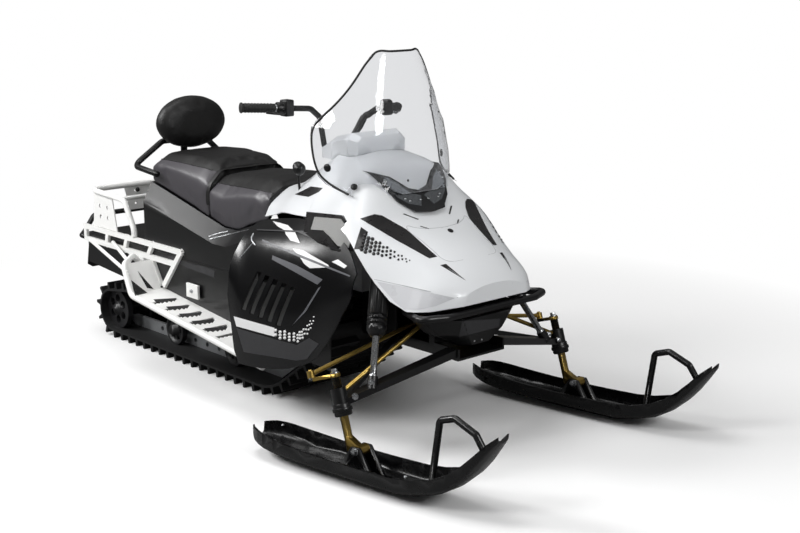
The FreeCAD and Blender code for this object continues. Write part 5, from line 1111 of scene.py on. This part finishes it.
class SNOWMOBILE_OT_fittings(bpy.types.Operator):
    """Adds bolts, knuckles and rivets to skis, arms and nose, black patches of painted shade in the boards'
    slots and the frame's gaps, and the braces
    """

    bl_idname = "snowmobile.fittings"
    bl_label = "Bolts and fittings"

    def execute(self, context):
        for word, side in SIDES:
            pivot = JOINTS[word + "_ski_pivot"]
            place, axis = Vector(pivot["pos_m"]), Vector(pivot["axis"]).normalized()
            for end, way in (("outer", 1), ("inner", -1)):
                bolt(f"ski_bolt_{word}_{end}", place + axis * (way * SKI_BOLT_OUT), axis * way, 20,
                     "ski_" + word)
            pin = JOINTS[word + "_kingpin"]
            ring, axis = Vector(pin["pos_m"]), Vector(pin["axis"]).normalized()
            bolt("kingpin_nut_" + word, ring + axis * KINGPIN_TOP, axis, 22, "spindle_" + word)
            for name, low, high, radius, bevel in KNUCKLES:
                rod(name + word, ring + axis * low, ring + axis * high, radius * MM, "black_steel",
                    body="spindle_" + word, sides=28, bevel_mm=bevel)
        both_balls("shock_eye_{}", SHOCK_FOOT, 15 * MM, "black_steel", "silver_metal")
        arms = surface("lower_arms")
        for name, pixel, size in (("arm_bolt_", ARM_BOLT_PIXEL, 17),
                                  ("shock_bolt_", SHOCK_BOLT_PIXEL, 16)):
            place = seen(pixel, arms)
            if place is not None:
                bolt(name + "right", place, ARM_BOLT_WAY, size)
                bolt(name + "left", *mirrored([place, ARM_BOLT_WAY]), size)
        turn_axis = Vector(JOINTS["right_ski_pivot"]["axis"]).normalized()
        near_pivot, far_pivot = (Vector(JOINTS[word + "_ski_pivot"]["pos_m"]) for word, _ in SIDES)
        for number, place in enumerate(seen_row(SKI_RIVET_PIXELS, surface("ski_right"))):
            offset = place - near_pivot
            twin = far_pivot + offset - turn_axis * (2 * offset.dot(turn_axis))
            for word, spot in (("right", place), ("left", twin)):
                ball(f"ski_rivet_{word}_{number}", spot, 7 * MM, "black_plastic", "silver_metal",
                     "ski_" + word, squash=0.6)
        nose = surface("nose_pan")
        patch("nose_facet", seen_row(NOSE_FACET_PIXELS, nose), nose, "black_plastic", "satin_grey",
              lift_mm=0.7)
        both_patches("tunnel_band", TUNNEL_BAND_PIXELS, surface("tunnel"), "black_aluminium", "satin_grey",
                     lift_mm=0.7)
        board = surface("running_board_right")
        level = seen(BOARD_PIXEL, board)
        upward = board.find_nearest(level)[1]
        # Black patches where the boards' slots open: painted shade
        for number in range(5):
            step_x, step_y = (pitch * number for pitch in STEP_SLOT_PITCH)
            shape = [on_plane((x + step_x, y + step_y), level, upward) for x, y in STEP_SLOT_PIXELS]
            piece = patch(f"board_slot_right_{number}", shape, board, "black_plastic", "black_rubber",
                          lift_mm=1.0, drape=False)
            mirror_piece(piece, f"board_slot_left_{number}", "black_plastic", "black_rubber")
        # Black patches in the gaps by the side frames: painted shade
        for number, pixels in enumerate(FRAME_GAP_SHADE_PIXELS):
            both_patches(f"frame_gap_{number}", pixels, board, "black_plastic", "black_rubber",
                         lift_mm=0.8)
        frame_plane = (0, -SIDE_FRAME_OUT, 0)
        for number, (start, end) in enumerate(BRACE_PIXELS):
            ends = [on_plane(start, frame_plane, SIDEWAYS),
                    seen(end, board) or on_plane(end, frame_plane, SIDEWAYS)]
            rod(f"frame_brace_right_{number}", *ends, 8 * MM, "white_steel")
            rod(f"frame_brace_left_{number}", *mirrored(ends), 8 * MM, "white_steel")
        place = on_plane(BRACKET_PIXEL, (0, -BRACKET_OUT, 0), SIDEWAYS)
        for word, side in SIDES:
            middle = Vector((place.x, place.y * -side, place.z))
            box("board_bracket_" + word, middle, BRACKET_SIZE, "white_steel")
            face = middle + SIDEWAYS * (side * BRACKET_SIZE[1] / 2)
            bolt("board_bracket_bolt_" + word, face, (0, side, 0), 12)
        knob = seen(RACK_KNOB_PIXEL, surface("rear_rack"))
        if knob is not None:
            ball("rack_knob", knob, 11 * MM, "black_plastic")
        for number, place in enumerate(seen_row(NOSE_RIVET_PIXELS, nose)):
            ball(f"nose_rivet_{number}", place, 5 * MM, "black_plastic", "silver_metal", squash=0.4,
                 axis=outward(nose, place))
        return {"FINISHED"}


class SNOWMOBILE_OT_stage(bpy.types.Operator):
    """Adds the white floor with its soft shadow, the lamps, and the camera where the photograph's stood"""

    bl_idname = "snowmobile.stage"
    bl_label = "Stage, lamps and camera"

    def execute(self, context):
        finish = context.scene.snowmobile_finish
        floor = fresh(bpy.ops.mesh.primitive_plane_add, size=60, location=(0, 0, 0))
        floor.name = "floor"
        # Matt white near the machine, plain white light further out
        white, tree, shader = finish_material("pale_floor", {"Roughness": 0.9, "Specular IOR Level": 0.0})
        rays = add_node(tree, "ShaderNodeLightPath")
        two_tints(tree, shader, rays.outputs["Is Camera Ray"], "#8A8A8A", "#FFFFFF")
        place = add_node(tree, "ShaderNodeTexCoord")
        reach = add_node(tree, "ShaderNodeVectorMath", {"operation": "LENGTH"},
                         {0: place.outputs["Object"]})
        fade = add_node(tree, "ShaderNodeMapRange", {"From Min": 1.6, "From Max": 3.0},
                        {"Value": reach.outputs["Value"]})
        # The far floor is dimmer in the black panels than in the picture
        mirrored_ray = add_node(tree, "ShaderNodeMath", {"operation": "SUBTRACT", "use_clamp": True},
                                {0: rays.outputs["Is Glossy Ray"], 1: rays.outputs["Is Transmission Ray"]})
        dimmed = add_node(tree, "ShaderNodeMath", {"operation": "MULTIPLY_ADD"},
                          {0: mirrored_ray.outputs["Value"]})
        dimmed.inputs[1].default_value, dimmed.inputs[2].default_value = -0.8, 1.0
        glow = add_node(tree, "ShaderNodeEmission", {"Color": (1, 1, 1, 1)},
                        {"Strength": dimmed.outputs["Value"]})
        mixed(tree, fade.outputs["Result"], shader.outputs["BSDF"], glow.outputs["Emission"],
              "Material Output")
        floor.data.materials.append(white)

        world = bpy.data.worlds.new("studio_white")
        context.scene.world = world
        world.use_nodes = True
        tree = world.node_tree
        # Dim near the horizon and bright overhead, as in a studio with a lit ceiling
        dim = tree.nodes["Background"]
        dim.inputs["Color"].default_value = (1, 1, 1, 1)
        place = add_node(tree, "ShaderNodeTexCoord")
        parts = add_node(tree, "ShaderNodeSeparateXYZ", None, {"Vector": place.outputs["Generated"]})
        rise = add_node(tree, "ShaderNodeMapRange",
                        {"From Min": 0.1, "From Max": 0.9, "To Min": 0.04, "To Max": 0.35},
                        {"Value": parts.outputs["Z"]})
        tree.links.new(rise.outputs["Result"], dim.inputs["Strength"])
        rays = add_node(tree, "ShaderNodeLightPath")
        seen_rays = add_node(tree, "ShaderNodeMath", {"operation": "MAXIMUM"},
                             {0: rays.outputs["Is Camera Ray"], 1: rays.outputs["Is Transmission Ray"]})
        bright = add_node(tree, "ShaderNodeBackground", {"Color": (1, 1, 1, 1), "Strength": 1.0})
        mixed(tree, seen_rays.outputs["Value"], dim.outputs["Background"], bright.outputs["Background"],
              "World Output")

        # Each lamp's place and size in metres, and its share of the lamps' power
        for name, spot, size, share in (
                ("key", (-0.2, -5.2, 4.2), 1.8, 0.72), ("front", (6.0, 0.0, 3.6), 1.8, 0.6),
                ("side", (-3.5, -3.5, 4.0), 1.8, 1.05), ("top", (-0.3, -0.6, 5.2), 2.2, 0.32)):
            lamp = fresh(bpy.ops.object.light_add, type="AREA", location=spot)
            lamp.name = name + "_lamp"
            lamp.data.size = size
            lamp.data.energy = finish.lamp_strength * share
            lamp.rotation_euler = (Vector(spot) - Vector((0, 0, 0.4))).to_track_quat("Z", "Y").to_euler()

        view, _, _ = camera_axes()
        camera = fresh(bpy.ops.object.camera_add, location=CAMERA_PLACE)
        camera.rotation_euler = (-view).to_track_quat("Z", "Y").to_euler()
        camera.data.lens = LENS_MM
        camera.data.sensor_width = SENSOR_MM
        context.scene.camera = camera
        context.scene.view_settings.view_transform = "Standard"
        return {"FINISHED"}


class SNOWMOBILE_PT_build(bpy.types.Panel):
    """Lists the steps that dress the snowmobile"""

    bl_label = "Snowmobile"
    bl_idname = "SNOWMOBILE_PT_build"
    bl_space_type = "VIEW_3D"
    bl_region_type = "UI"
    bl_category = "Snowmobile"

    def draw(self, context):
        layout = self.layout
        for name in SnowmobileFinish.__annotations__:
            layout.prop(context.scene.snowmobile_finish, name)
        for step in STEPS:
            layout.operator(step.bl_idname)


STEPS = (SNOWMOBILE_OT_frame, SNOWMOBILE_OT_panels, SNOWMOBILE_OT_screen, SNOWMOBILE_OT_films,
         SNOWMOBILE_OT_flanks, SNOWMOBILE_OT_seats, SNOWMOBILE_OT_controls, SNOWMOBILE_OT_fittings,
         SNOWMOBILE_OT_stage)


def register():
    """Makes the settings, the operators and the panel known."""
    bpy.utils.register_class(SnowmobileFinish)
    bpy.types.Scene.snowmobile_finish = PointerProperty(type=SnowmobileFinish)
    for step in STEPS + (SNOWMOBILE_PT_build,):
        bpy.utils.register_class(step)


def unregister():
    """Takes them away again."""
    for step in (SNOWMOBILE_PT_build,) + STEPS[::-1]:
        bpy.utils.unregister_class(step)
    del bpy.types.Scene.snowmobile_finish
    bpy.utils.unregister_class(SnowmobileFinish)


def main():
    """Runs every step in order."""
    register()
    MATERIALS.update(make_materials())
    bpy.ops.snowmobile.frame()
    bpy.ops.snowmobile.panels()
    bpy.ops.snowmobile.screen()
    bpy.ops.snowmobile.films()
    bpy.ops.snowmobile.flanks()
    bpy.ops.snowmobile.seats()
    bpy.ops.snowmobile.controls()
    bpy.ops.snowmobile.fittings()
    bpy.ops.snowmobile.stage()


if __name__ == "__main__":
    main()
